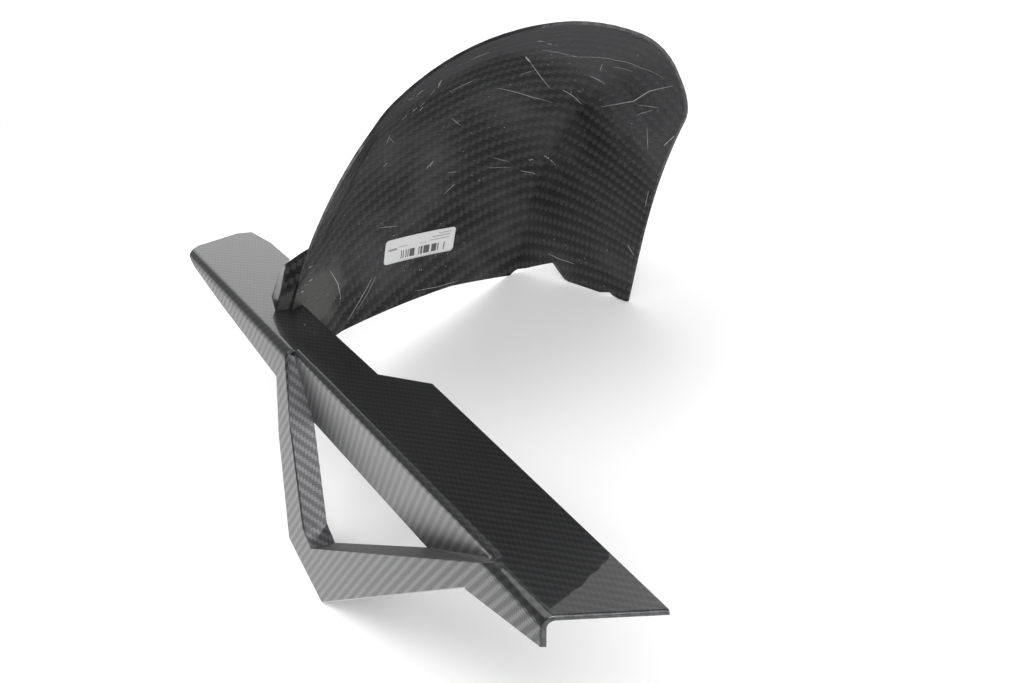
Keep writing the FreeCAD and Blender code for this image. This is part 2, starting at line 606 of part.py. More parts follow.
# Rear left corner of the hugger, seen from above: a slanting bow and a rounded rear turn
far = VALUE["beyond"]
corner = new_sketch("corner_outline", FLAT)
bow = VALUE["corner_bow"]
turn = VALUE["corner_round"]
bow_start = Vector(VALUE["corner_left"], VALUE["corner_front"], 0)
turn_stop = Vector(VALUE["corner_x"], VALUE["corner_rear"], 0)
turn_mid = turn_stop + Vector(0, turn, 0)
bow_mid = meeting(bow_start, bow, turn_mid, bow - turn)
bow_stop = turn_mid + (turn_mid - bow_mid).normalize() * turn
arc_between(corner, bow_mid, bow, bow_start, bow_stop)
arc_between(corner, turn_mid, turn, bow_stop, turn_stop)
close_off(
    corner,
    [turn_stop, Vector(turn_stop.x, -far, 0), Vector(-far, -far, 0), Vector(-far, bow_start.y, 0), bow_start],
    [(1, 2, 2, 1), (2, 2, 3, 1), (3, 2, 4, 1), (4, 2, 5, 1), (5, 2, 0, 1)],
    (2, 4), (3, 5),
)
corner.addConstraint(Sketcher.Constraint("Tangent", 0, 2, 1, 1))
corner.addConstraint(Sketcher.Constraint("Vertical", 1, 3, 1, 2))
pin(corner, 0, 1, plus("corner_left"), plus("corner_front"))
pin(corner, 1, 2, plus("corner_x"), plus("corner_rear"))
pin(corner, 3, 2, BEFORE, BEFORE)
bind(corner, Sketcher.Constraint("Radius", 0, bow), "sizes.corner_bow")
bind(corner, Sketcher.Constraint("Radius", 1, turn), "sizes.corner_round")
corner_block = prism("corner_block", corner, Z_WAY, plus("guard_length"), NONE)
hugger_cornered = cut("hugger_cornered", hugger_hemmed, corner_block)

# Rear edge of the right wall, seen from the side: a rounded turn below the rim and a long hollow curve
edge = new_sketch("wall_outline", ALONG)
edge.setExpression("Placement.Base.x", "sizes.mid_lower")
rake = math.radians(VALUE["angle_rear"])
rim_turn = VALUE["rim_round"]
hollow_turn = VALUE["wall_hollow"]
rim_start = Vector(VALUE["wheel_y"], VALUE["wheel_z"], 0)
rim_start += Vector(math.sin(rake), math.cos(rake), 0) * VALUE["rim_at"]
rim_mid = rim_start + Vector(math.cos(rake), -math.sin(rake), 0) * rim_turn
tail = Vector(VALUE["wall_rear"], -VALUE["hem_wall"], 0)
hollow_mid = meeting(tail, hollow_turn, rim_mid, hollow_turn + rim_turn)
rim_stop = rim_mid + (hollow_mid - rim_mid).normalize() * rim_turn
arc_between(edge, rim_mid, rim_turn, rim_start, rim_stop)
arc_between(edge, hollow_mid, hollow_turn, tail, rim_stop)
close_off(
    edge,
    [tail, Vector(tail.x, -far, 0), Vector(0, -far, 0), Vector(0, rim_start.y, 0), rim_start],
    [(1, 1, 2, 1), (2, 2, 3, 1), (3, 2, 4, 1), (4, 2, 5, 1), (5, 2, 0, 1)],
    (2, 4), (3, 5),
)
edge.addConstraint(Sketcher.Constraint("Tangent", 0, 2, 1, 2))
rake_rule = "(sizes.angle_rear * 1deg)"
bind(edge, Sketcher.Constraint("DistanceX", -1, 1, 0, 1, rim_start.x),
     f"sizes.wheel_y + sizes.rim_at * sin{rake_rule}")
bind(edge, Sketcher.Constraint("DistanceY", -1, 1, 0, 1, rim_start.y),
     f"sizes.wheel_z + sizes.rim_at * cos{rake_rule}")
bind(edge, Sketcher.Constraint("DistanceX", 0, 1, 0, 3, rim_mid.x - rim_start.x),
     f"sizes.rim_round * cos{rake_rule}")
bind(edge, Sketcher.Constraint("DistanceY", 0, 3, 0, 1, rim_start.y - rim_mid.y),
     f"sizes.rim_round * sin{rake_rule}")
pin(edge, 1, 1, plus("wall_rear"), minus("hem_wall"))
pin(edge, 3, 2, NONE, BEFORE)
bind(edge, Sketcher.Constraint("Radius", 1, hollow_turn), "sizes.wall_hollow")
wall_block = prism("wall_block", edge, X_WAY, plus("mid_lower", "beyond"), NONE)
hugger = cut("hugger", hugger_cornered, wall_block)

# Ear on the left wall's rear edge, standing on the top flange
def foot_section(label, corners, run):
    """Section of the ear in the leaning plane of the wall's rear edge."""
    sketch = outline(label, FreeCAD.Rotation(X_WAY, 90 + VALUE["foot_lean"]), corners)
    sketch.setExpression("Placement.Base.x", "sizes.foot_x")
    sketch.setExpression("Placement.Base.y", "sizes.foot_y" + run)
    sketch.setExpression("Placement.Rotation.Angle", "90 + sizes.foot_lean")
    return sketch


shoulder = minus("foot_reach") + plus("foot_taper")
crown = plus("foot_set") + minus("foot_taper")
foot_rear = foot_section("foot_rear", [
    (minus("foot_reach"), minus("laminate")),
    (shoulder, plus("foot_shoulder")),
    (crown, plus("foot_height") + minus("foot_bevel")),
    (plus("foot_set"), plus("foot_height")),
    (plus("foot_set", "laminate"), plus("foot_height")),
    (plus("laminate"), minus("laminate")),
], "")
foot_ahead = foot_section("foot_ahead", [
    (minus("foot_reach"), plus("foot_low")),
    (shoulder, plus("foot_shoulder") + minus("foot_low")),
    (crown, plus("foot_height") + minus("foot_low", "foot_bevel")),
    (plus("foot_in", "foot_set"), plus("foot_height") + minus("foot_low")),
    (plus("foot_in", "foot_set", "laminate"), plus("foot_height") + minus("foot_low")),
    (plus("foot_in"), plus("foot_low")),
], " + sizes.foot_run")
foot_solid = doc.addObject("Part::Loft", "foot_solid")
foot_solid.Sections = [foot_rear, foot_ahead]
foot_solid.Solid = True
foot_solid.Ruled = True
foot_trim = wheel_loft("foot_trim", plus("foot_bite"), plus("foot_clear"))
foot = cut("foot", foot_solid, foot_trim)

# Fixing bosses under the top flange
bosses = []
threads = []
for place in ("rear", "front"):
    boss = doc.addObject("Part::Cylinder", f"boss_{place}_solid")
    boss.setExpression("Radius", "sizes.boss_radius")
    boss.setExpression("Height", "sizes.boss_height - sizes.laminate / 2")
    thread = doc.addObject("Part::Cylinder", f"boss_{place}_hole")
    thread.setExpression("Radius", "sizes.thread_radius")
    thread.setExpression("Height", "sizes.thread_depth")
    for made in (boss, thread):
        made.setExpression("Placement.Base.x", "sizes.boss_x")
        made.setExpression("Placement.Base.y", f"sizes.boss_{place}")
        made.setExpression("Placement.Base.z", "-sizes.boss_height")
    bosses.append(boss)
    threads.append(thread)

moulded = doc.addObject("Part::MultiFuse", "moulded")
moulded.Shapes = [guard_rounded, pan_sheet, hugger, foot] + bosses
moulded.Refine = True
drills = doc.addObject("Part::MultiFuse", "drills")
drills.Shapes = threads
fender = cut("fender", moulded, drills)

# Label: a thin skin on the hugger's inner face, trimmed to a rounded rectangle
under_label = plus("laminate", "label_film")
label_skin = wheel_loft("label_skin", under_label, under_label + plus("label_thick"))
shape = doc.addObject("Part::Box", "label_shape")
shape.setExpression("Length", "sizes.label_width")
shape.setExpression("Width", "sizes.guard_length")
shape.setExpression("Height", "sizes.label_height")
shape.Placement.Rotation = FreeCAD.Rotation(Vector(0, -1, 0), VALUE["label_turn"])
shape.setExpression("Placement.Rotation.Angle", "sizes.label_turn")
shape.setExpression(
    "Placement.Base.x",
    "sizes.label_x - (sizes.label_width * cos(sizes.label_turn * 1deg)"
    " - sizes.label_height * sin(sizes.label_turn * 1deg)) / 2",
)
shape.setExpression(
    "Placement.Base.z",
    "sizes.label_z - (sizes.label_width * sin(sizes.label_turn * 1deg)"
    " + sizes.label_height * cos(sizes.label_turn * 1deg)) / 2",
)
shape.setExpression("Placement.Base.y", "sizes.wheel_y")
doc.recompute()
rounded = doc.addObject("Part::Fillet", "label_rounded")
rounded.Base = shape
rounded.Edges = [
    (number, VALUE["label_round"], VALUE["label_round"])
    for number, edge in enumerate(shape.Shape.Edges, start=1)
    if edge.Length > VALUE["label_width"] + VALUE["beyond"]
]
label = common("blank_label", [label_skin, rounded])

for node in (fender, label):
    node.Label = node.Name
    node.setExpression("Placement.Base.x", "-sizes.boss_x")
    node.setExpression("Placement.Base.y", "-sizes.boss_front")
    node.setExpression("Placement.Base.z", "sizes.boss_height")
doc.recompute()

for made in doc.Objects:
    if "Invalid" in made.State or "Error" in made.State:
        raise RuntimeError(f"{made.Name} did not build: {made.State}")
    if hasattr(made, "Shape") and (made.Shape.isNull() or not made.Shape.isValid()):
        raise RuntimeError(f"{made.Name} has no valid shape")
    if made.isDerivedFrom("Sketcher::SketchObject") and made.solve() != 0:
        raise RuntimeError(f"{made.Name} is not solved")

os.makedirs("parts", exist_ok=True)
for node in (fender, label):
    if len(node.Shape.Solids) != 1:
        raise RuntimeError(f"{node.Name} is {len(node.Shape.Solids)} solids")
    node.Shape.exportStep(f"parts/{node.Name}.step")
    box = node.Shape.BoundBox
    print(node.Name, round(node.Shape.Volume), [round(side_length, 1) for side_length in
          (box.XMin, box.YMin, box.ZMin, box.XMax, box.YMax, box.ZMax)])
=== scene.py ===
import math

import bmesh
import bpy
from bpy.props import FloatProperty, FloatVectorProperty, IntProperty, PointerProperty
from mathutils import Euler, Matrix, Vector
from mathutils.bvhtree import BVHTree


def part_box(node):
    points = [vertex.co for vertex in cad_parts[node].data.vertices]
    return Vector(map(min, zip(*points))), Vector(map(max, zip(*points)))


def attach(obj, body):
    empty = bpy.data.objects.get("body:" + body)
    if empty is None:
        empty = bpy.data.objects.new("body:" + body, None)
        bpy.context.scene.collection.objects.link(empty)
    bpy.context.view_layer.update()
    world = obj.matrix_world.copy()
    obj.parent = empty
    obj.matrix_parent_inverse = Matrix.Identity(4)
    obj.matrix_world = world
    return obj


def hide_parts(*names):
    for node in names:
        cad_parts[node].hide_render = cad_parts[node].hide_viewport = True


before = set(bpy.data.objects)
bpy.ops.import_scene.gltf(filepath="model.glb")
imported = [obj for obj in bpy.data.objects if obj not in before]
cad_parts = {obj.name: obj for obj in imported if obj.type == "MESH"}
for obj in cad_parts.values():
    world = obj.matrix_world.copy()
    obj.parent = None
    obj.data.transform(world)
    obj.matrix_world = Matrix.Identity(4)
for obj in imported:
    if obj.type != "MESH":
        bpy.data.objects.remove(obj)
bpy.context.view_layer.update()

bl_info = {
    "name": "Carbon Rear Fender",
    "version": (1, 0, 0),
    "blender": (4, 5, 0),
    "location": "View3D > Sidebar > Fender",
    "description": "Dresses a carbon rear hugger with chain guard: twill, scuffs, label and studio",
    "category": "Object",
}

MM = 0.001

# The guard's ridge ends here; places on the guard are given from it
RIDGE = Vector((-33.0, -535.0, 12.0)) * MM
BEND = 7.0 * MM
WHEEL = Vector((0.0, 154.0, -135.0)) * MM + RIDGE

# The hugger's sections by their angle about the wheel: middle, half width and crease radius in mm
SECTION_ANGLES = (10.0, 32.0, 54.0, 77.0)
SECTION_MIDDLES = (130.0, 137.0, 149.0, 162.5)
SECTION_HALVES = (72.0, 73.5, 76.0, 76.0)
SECTION_CREASES = (351.0, 343.0, 340.0, 340.0)
MM_PER_DEGREE = 5.9

# Where the hugger, the flange and the ear lie from the ridge, the hugger's least radius about the wheel,
# and how level the faces of the flange and the ear are
HUGGER_LEFT = 14 * MM
HUGGER_RIGHT = 67.2 * MM
HUGGER_START = 200 * MM
HUGGER_RISE = 0.05 * MM
HUGGER_RADIUS = 0.22
FLANGE_LOW = -2.2 * MM
FLANGE_HIGH = 0.2 * MM
FLANGE_LEVEL = 0.9
EAR_LEFT = 40 * MM
EAR_START = 400 * MM
EAR_LEVEL = 0.85

# The guard's side and its fin in mm from the ridge, and how far their faces turn
SIDE_WITHIN = 22.0
SIDE_TOP = -1.0
SIDE_FACING = 0.93
FIN_REACH = (60.0, 400.0)
FIN_TOP = -8.0
FIN_SKIN = 1.0
REVEAL_FACING = -0.3
LEDGE_FACING = 0.6

# Inner faces look at the wheel and, the more the further from the middle, at the other wall
WALL_PULL = 8.0
INNER_FACING = 0.15

# Rays from the wheel start at these radii in metres; left of LEFT_WALL mm they start past the flange
LEFT_WALL = 60.0
RAY_START = 0.2
LEFT_RAY_START = 0.295

# Edges of the guard's side that are rounded: their place in mm from the ridge, least length and turn
EDGE_WITHIN = 16.0
EDGE_TOP = -3.0
EDGE_REACH = (5.0, 588.0)
EDGE_LEAST = 10 * MM
EDGE_TURN = math.radians(35)
EDGE_FACING = -0.9
EDGE_STEPS = 5

# What counts as off the bend, as flat, as one point and as no length
BEND_SLACK = 1.01
FLAT_TURN = math.radians(0.4)
WELD = 0.002 * MM
SLIVER = 0.001 * MM

# The moulding's materials in the order of its slots; SIDE and REVEAL are lighter copies of the carbon as
# painted sheen, LEDGE a plain dark copy as painted dark reflection
MIRROR, INNER, SIDE, REVEAL, LEDGE = range(5)

MOULDING_SHARP = math.radians(24)
LABEL_SHARP = math.radians(40)
LABEL_TURN = math.radians(3.5)

# Cloth: share of the tow on top in the tint, and strength and depth of the weave; the tint lights the tows on
# top and the tows' crowns and darkens the weave's low places, as painted sheen and painted shade
TOP_TOW = 0.7
INNER_TOP_TOW = 0.75
WEAVE = (0.25, 0.1 * MM)
INNER_WEAVE = (0.6, 0.3 * MM)
COAT_IOR = 1.5

# Noises by scale and detail
COAT_WAVES = (42.0, 2.0)
HAZE_CLOUDS = (16.0, 6.0)
RESIN_EDGE = (55.0, 5.0)

# The coat's fall towards the near end
DROOP_RUN = 78.0 * MM
DROOP_SLANT = 0.6

# Haze in clouds that grows lighter towards the rim, smeared resin, and the groove's painted shade on the
# inner face: where each fades, then its strength and colour
RIM_FADE = (190.0 * MM, 70.0 * MM)
RIM_BRIGHTENING = 0.3
HAZE_FADE = (0.42, 0.78)
HAZE = (0.6, (0.1, 0.1, 0.105))
PATCH = Vector((50.0, 446.0, -2.0)) * MM + RIDGE
PATCH_RAG = 40.0 * MM
PATCH_FADE = (62.0 * MM, 46.0 * MM)
RESIN = (0.75, (0.105, 0.104, 0.1))
GROOVE_FADE = (2.6 * MM, 0.9 * MM)
GROOVE_PAINTED_SHADE = (0.92, (0.004, 0.004, 0.004))
GROOVE_DEPTH = 2.0

LEDGE_ROUGH = 0.6
SCRATCH_ROUGH = 0.55
PAPER_ROUGH = 0.6

# Camera that took the picture, with the picture's size in pixels
PICTURE = (1024, 683)
SENSOR = 36.0
LENS = 49.22
CAMERA_PLACE = Vector((-266.26, -484.73, 361.11)) * MM + RIDGE
CAMERA_TURN = Euler((math.radians(67.92), 0.0, math.radians(-27.456)))

# The table that the part lies on in the picture
TABLE_UP = Vector((-0.5102, -0.0982, 0.8544)).normalized()
TABLE_TOUCH = Vector((269.0, 354.0, -8.0)) * MM + RIDGE
TABLE_GAP = 0.3 * MM
TABLE_RIGHT = Vector((0.848, -0.221, 0.481))
FLOOR_RADIUS = 2.0
FLOOR_CORNERS = 96
FLOOR_FADE = (0.6, 1.1)

# The dark part of the room leans from the table's upright
DARK_LEAN = 0.25
DARK_FADE = (0.2, 0.33)

# Lamps by size and by their way from the place that they light, in metres
LIT_PLACE = Vector((120.0, 300.0, 20.0)) * MM + RIDGE
OVER_LAMP = (2.2, TABLE_UP * 1.8 + Vector((0.20, 0.62, 0.22)))
SIDE_LAMP = (0.9, Vector((-0.70, 0.62, 0.32)) * 1.7)
FRONT_LAMP = (0.9, Vector((-0.30, -0.80, 0.52)) * 1.7)

# Scratches on the inner face: weight, and picture points in pixels
SCRATCHES = (
    (1.2, ((525.5, 56.5), (530, 61.5))),
    (0.5, ((530, 62), (538, 73), (545, 82), (551, 89))),
    (0.45, ((497, 88), (517, 92.5), (531.7, 97), (551.7, 102.5))),
    (0.3, ((450, 91.7), (466, 84), (477.5, 78.3))),
    (0.4, ((451.7, 118.3), (460, 125))),
    (0.45, ((426.7, 168.3), (433.3, 160.8))),
    (0.3, ((448, 173), (456.7, 171.7))),
    (0.35, ((444, 194), (455, 184))),
    (0.45, ((383.5, 166.7), (387.5, 162.5))),
    (0.35, ((386.7, 143.3), (390, 135))),
    (0.4, ((420, 110.8), (423, 106.7))),
    (0.4, ((438, 88), (441, 81.5))),
    (0.4, ((520, 170.8), (535, 174))),
    (0.25, ((486.7, 168), (510, 167.5))),
    (0.6, ((601, 107), (618, 104), (633.8, 101), (650, 91), (672.5, 86))),
    (0.4, ((590, 76), (605, 84.5))),
    (0.5, ((562.5, 90), (581, 103.8))),
    (0.3, ((565, 56), (578.8, 57), (615, 60), (640, 67.5), (662.5, 77.5))),
    (0.4, ((600, 71), (602.5, 63.8))),
    (0.4, ((663.8, 146), (674, 136))),
    (0.25, ((637.5, 105), (660, 108))),
    (0.3, ((648.8, 190), (645, 207.5))),
    (0.4, ((627.5, 245), (634, 255))),
    (0.5, ((548.8, 253.8), (558.8, 258.8), (573.8, 263.8))),
    (0.4, ((372, 278), (366, 290), (354, 310), (348, 320))),
    (0.3, ((376, 276), (369, 291), (358, 309))),
    (0.55, ((330, 270), (338, 284), (341, 298))),
    (0.3, ((378, 228), (398, 226))),
    (0.3, ((408, 100), (415, 98))),
    (0.35, ((417, 95), (423, 90))),
    (0.3, ((430, 95), (435, 90))),
    (0.35, ((438, 85), (442, 80))),
    (0.3, ((420, 107), (425, 102))),
    (0.3, ((412, 112), (417, 108))),
    (0.3, ((389, 137), (394, 143))),
    (0.25, ((613, 67), (633, 72))),
    (0.3, ((637, 115), (653, 110))),
    (0.3, ((664, 145), (675, 136))),
    (0.25, ((647, 127), (648, 150))),
    (0.25, ((493, 158), (510, 162))),
    (0.35, ((430, 167), (433, 162))),
    (0.35, ((415, 291), (437, 287), (458, 281))),
    (0.3, ((541, 50), (560, 53), (578, 57))),
    (0.25, ((470, 60), (490, 52))),
    (0.3, ((520, 75), (535, 70))),
    (0.3, ((402, 120), (407, 115))),
)
SCRATCH_STEP = 2.0
SCRATCH_CORNERS = 6
SCRATCH_TIP = 0.35

# Rubbed spots: reach in mm, and a picture point in pixels
RUBS = (
    (2.6, (541, 41)), (3.0, (549, 44)), (2.0, (557, 45.5)), (4.2, (306, 285)), (3.0, (302.5, 291.5)),
    (2.6, (311, 280)), (2.6, (529.5, 160)), (4.0, (549, 158.5)), (1.2, (580.5, 31.5)), (1.4, (338, 284)),
    (1.5, (341, 298)), (2.2, (311, 266.5)), (1.6, (417, 96.5)), (1.2, (438.5, 79.5)),
)
RUB_CORNERS = 13
GRAIN_LEAST = (0.4, 0.4, 0.15)
GRAIN_MOST = (1.7, 1.1, 0.3)

# Groove down the left wall, darkened as painted shade of the crease, as picture points in pixels
GROOVE = ((376, 138), (363, 161), (350, 188), (336, 215), (324, 240))
GROOVE_STEP = 40.0

# Printed strips of the label: strength, then left, right, low and high edges in mm from its middle
STRIPS = (
    (0.6, (-26.5, -19.0, 0.6, 2.6)),
    (0.35, (-18.0, -10.0, 2.4, 3.4)),
    (0.45, (15.5, 26.0, 7.6, 8.5)),
    (0.5, (11.0, 25.5, 4.9, 5.9)),
    (0.45, (9.0, 25.0, 2.2, 3.1)),
    (0.25, (0.0, 6.5, 1.4, 2.4)),
)
BARS_FIELD = (-15.0, 22.0, -8.6, -1.2)
BARS_LEFT_OUT = 0.42
BARS_INK = 0.9


class CarbonSettings(bpy.types.PropertyGroup):
    """Cloth and clear coat of the moulding."""

    tow: FloatProperty(
        name="Tow Width", description="Width of one woven tow of the outer cloth",
        default=2.05 * MM, unit="LENGTH")
    inner_tow: FloatProperty(
        name="Inner Tow Width", description="Width of one woven tow of the hugger's inner cloth",
        default=3.9 * MM, unit="LENGTH")
    inner_turn: FloatProperty(
        name="Inner Cloth Turn", description="Turn of the inner cloth from the wheel's way",
        default=math.radians(8.0), subtype="ANGLE")
    # Dark and light tows paint the fibres' sheen into the colour
    dark: FloatVectorProperty(
        name="Dark Tow", description="Colour of the tows that turn away from the light",
        subtype="COLOR", size=3, default=(0.05, 0.051, 0.053))
    light: FloatVectorProperty(
        name="Light Tow", description="Colour of the tows that catch the light",
        subtype="COLOR", size=3, default=(0.09, 0.091, 0.094))
    # The guard's side has its own lighter and darker tows: a copy of the cloth with painted sheen
    side: FloatVectorProperty(
        name="Side Tow", description="Colour of the tows that shine on the guard's side",
        subtype="COLOR", size=3, default=(0.15, 0.151, 0.154))
    side_dark: FloatVectorProperty(
        name="Side Dark Tow", description="Colour of the duller tows on the guard's side",
        subtype="COLOR", size=3, default=(0.022, 0.022, 0.023))
    # The window's reveal has a still lighter copy of the cloth: painted sheen of the fibres in the lamp by
    # the camera
    reveal: FloatVectorProperty(
        name="Reveal Tow", description="Colour of the tows that shine in the window's reveal",
        subtype="COLOR", size=3, default=(0.30, 0.30, 0.31))
    reveal_dark: FloatVectorProperty(
        name="Reveal Dark Tow", description="Colour of the duller tows in the window's reveal",
        subtype="COLOR", size=3, default=(0.13, 0.13, 0.135))
    side_coat: FloatProperty(
        name="Side Coat", description="Weight of the clear coat on the guard's side", default=0.36)
    side_gloss: FloatProperty(
        name="Side Coat Roughness", description="Roughness of the coat on the guard's side", default=0.24)
    fibre: FloatProperty(
        name="Fibre Shine", description="How much the fibres shine as a metal does", default=0.8)
    tow_gloss: FloatProperty(
        name="Tow Roughness", description="Roughness of the cloth under the coat", default=0.36)
    coat_gloss: FloatProperty(
        name="Coat Roughness", description="Roughness of the clear coat", default=0.02)
    edge: FloatProperty(
        name="Edge Round", description="Rounding of the edges of the guard's side",
        default=1.1 * MM, unit="LENGTH")
    droop: FloatProperty(
        name="End Droop", description="Fall of the coat's face towards the near end",
        default=5.5 * MM, unit="LENGTH")
    ripple: FloatProperty(
        name="Coat Ripple", description="Height of the coat's slow waves",
        default=0.16 * MM, unit="LENGTH")
    # Low places of the inner weave are dark and its high tows light: painted shade and painted sheen
    inner_dark: FloatVectorProperty(
        name="Inner Dark", description="Colour of the inner cloth's low places",
        subtype="COLOR", size=3, default=(0.003, 0.003, 0.0032))
    inner_light: FloatVectorProperty(
        name="Inner Light", description="Colour of the inner cloth's high places",
        subtype="COLOR", size=3, default=(0.048, 0.048, 0.05))
    inner_gloss: FloatProperty(
        name="Inner Roughness", description="Roughness of the bare inner face", default=0.5)


class ScuffSettings(bpy.types.PropertyGroup):
    """Scratches and rubbed spots on the inner face."""

    colour: FloatVectorProperty(
        name="Scratch Colour", description="Colour of rubbed resin",
        subtype="COLOR", size=3, default=(0.6, 0.6, 0.59))
    width: FloatProperty(
        name="Scratch Width", description="Width of a scratch of weight one",
        default=0.95 * MM, unit="LENGTH")
    specks: FloatProperty(
        name="Specks", description="Specks for each square metre of rubbed cloth", default=8000.0)
    rubbed: FloatProperty(
        name="Rub Specks", description="Specks for each square metre of a rubbed spot", default=2.6e6)
    speck_size: FloatProperty(
        name="Speck Size", description="Radius of a speck", default=0.36 * MM, unit="LENGTH")
    seed: IntProperty(name="Seed", description="Seed of the specks", default=7)


class LabelSettings(bpy.types.PropertyGroup):
    """Paper label with generic printed strips."""

    paper: FloatVectorProperty(
        name="Paper", description="Colour of the label", subtype="COLOR", size=3,
        default=(0.9, 0.9, 0.9))
    ink: FloatVectorProperty(
        name="Ink", description="Colour of the printed bars", subtype="COLOR", size=3,
        default=(0.03, 0.03, 0.032))
    bars: IntProperty(name="Bars", description="Number of printed bar places", default=44)


class StageSettings(bpy.types.PropertyGroup):
    """Floor, light and camera."""

    floor: FloatVectorProperty(
        name="Floor", description="Colour of the floor", subtype="COLOR", size=3,
        default=(0.85, 0.85, 0.85))
    shaded: FloatVectorProperty(
        name="Shaded Floor", description="Part of the floor's white that shadows darken",
        subtype="COLOR", size=3, default=(0.82, 0.82, 0.82))
    lift: FloatProperty(
        name="Floor Lift", description="Part of the floor's white that no shadow darkens", default=0.22)
    fill: FloatProperty(name="Fill", description="Strength of the surrounding light", default=0.55)
    dark: FloatProperty(
        name="Dark Room", description="Strength of the room above the backdrop in reflections", default=0.1)
    over: FloatProperty(name="Overhead", description="Power of the overhead lamp", default=17.0, unit="POWER")
    side: FloatProperty(name="Side", description="Power of the lamp on the left", default=10.0, unit="POWER")
    front: FloatProperty(
        name="Front", description="Power of the lamp by the camera", default=13.5, unit="POWER")
    lens: FloatProperty(
        name="Lens", description="Focal length of the camera", default=LENS, subtype="DISTANCE_CAMERA")


def settings():
    return bpy.context.scene.fender


def new_tree(material):
    """Empties a material's node tree and returns it."""
    material.use_nodes = True
    tree = material.node_tree
    tree.nodes.clear()
    return tree


class Nodes:
    """Short way to add and join shader nodes."""

    def __init__(self, tree):
        self.tree = tree

    def add(self, kind, **values):
        node = self.tree.nodes.new(kind)
        for name, value in values.items():
            setattr(node, name, value)
        return node

    def join(self, source, target):
        self.tree.links.new(source, target)

    def put(self, socket, value):
        """Joins a socket to another one, or sets a plain number on it."""
        if isinstance(value, bpy.types.NodeSocket):
            self.join(value, socket)
        else:
            socket.default_value = value

    def math(self, operation, *values):
        node = self.add("ShaderNodeMath", operation=operation)
        for socket, value in zip(node.inputs, values):
            self.put(socket, value)
        return node.outputs[0]

    def blend(self, factor, first, second):
        node = self.add("ShaderNodeMix", data_type="RGBA")
        self.put(node.inputs["Factor"], factor)
        for name, value in (("A", first), ("B", second)):
            socket = [s for s in node.inputs if s.name == name and s.type == "RGBA"][0]
            if isinstance(value, bpy.types.NodeSocket):
                self.join(value, socket)
            else:
                socket.default_value = (*value, 1.0)
        return [s for s in node.outputs if s.type == "RGBA"][0]

    def vector(self, operation, *values):
        node = self.add("ShaderNodeVectorMath", operation=operation)
        for socket, value in zip(node.inputs, values):
            self.put(socket, value)
        return node.outputs["Value" if operation in {"DOT_PRODUCT", "LENGTH"} else "Vector"]

    def noise(self, place, scale, detail):
        node = self.add("ShaderNodeTexNoise")
        self.join(place, node.inputs["Vector"])
        node.inputs["Scale"].default_value = scale
        node.inputs["Detail"].default_value = detail
        return node.outputs["Fac"]

    def split(self, vector):
        node = self.add("ShaderNodeSeparateXYZ")
        self.join(vector, node.inputs[0])
        return node.outputs

    def bump(self, height, strength, depth):
        node = self.add("ShaderNodeBump")
        node.inputs["Strength"].default_value = strength
        node.inputs["Distance"].default_value = depth
        self.join(height, node.inputs["Height"])
        return node.outputs["Normal"]

    def mixed(self, factor, first, second):
        node = self.add("ShaderNodeMixShader")
        self.join(factor, node.inputs["Fac"])
        self.join(first.outputs[0], node.inputs[1])
        self.join(second.outputs[0], node.inputs[2])
        return node

    def off_segment(self, place, start, stop):
        """Distance of a place from a straight piece of line."""
        way = Vector(stop) - Vector(start)
        from_start = self.vector("SUBTRACT", place, start)
        share = self.math("DIVIDE", self.vector("DOT_PRODUCT", from_start, way), way.length_squared)
        held = self.math("MINIMUM", self.math("MAXIMUM", share, 0.0), 1.0)
        along = self.add("ShaderNodeVectorMath", operation="SCALE")
        along.inputs[0].default_value = way
        self.join(held, along.inputs["Scale"])
        return self.vector("LENGTH", self.vector("SUBTRACT", from_start, along.outputs["Vector"]))

    def ramp(self, value, low, high):
        node = self.add("ShaderNodeMapRange", clamp=True, interpolation_type="SMOOTHSTEP")
        self.put(node.inputs["Value"], value)
        node.inputs["From Min"].default_value = low
        node.inputs["From Max"].default_value = high
        return node.outputs["Result"]


def twill(nodes, tow):
    """2 x 2 twill on the piece's cloth map: which tow is on top, and the cloth's height."""
    cloth = nodes.split(nodes.add("ShaderNodeUVMap", uv_map="cloth").outputs["UV"])
    across = nodes.math("DIVIDE", cloth["X"], tow)
    along = nodes.math("DIVIDE", cloth["Y"], tow)
    column = nodes.math("FLOOR", across)
    row = nodes.math("FLOOR", along)
    in_column = nodes.math("FRACT", across)
    in_row = nodes.math("FRACT", along)
    step = nodes.math("FLOORED_MODULO", nodes.math("ADD", column, row), 4.0)
    over = nodes.math("LESS_THAN", step, 1.5)
    float_step = nodes.math("FLOORED_MODULO", step, 2.0)

    def dome(value, sharp):
        centred = nodes.math("ABSOLUTE", nodes.math("MULTIPLY_ADD", value, 2.0, -1.0))
        return nodes.math("SUBTRACT", 1.0, nodes.math("POWER", centred, sharp))

    def tow_height(side_on, end_on):
        run = nodes.math("MULTIPLY", nodes.math("ADD", float_step, end_on), 0.5)
        return nodes.math("MULTIPLY", dome(side_on, 2.0), dome(run, 4.0))

    upright = tow_height(in_column, in_row)
    level = tow_height(in_row, in_column)
    height = nodes.math("ADD", nodes.math("MULTIPLY", over, upright),
                        nodes.math("MULTIPLY", nodes.math("SUBTRACT", 1.0, over), level))
    return over, height


def finish_material(nodes, shader):
    """Joins a shader to the material's output."""
    output = nodes.add("ShaderNodeOutputMaterial")
    nodes.join(shader.outputs[0], output.inputs["Surface"])


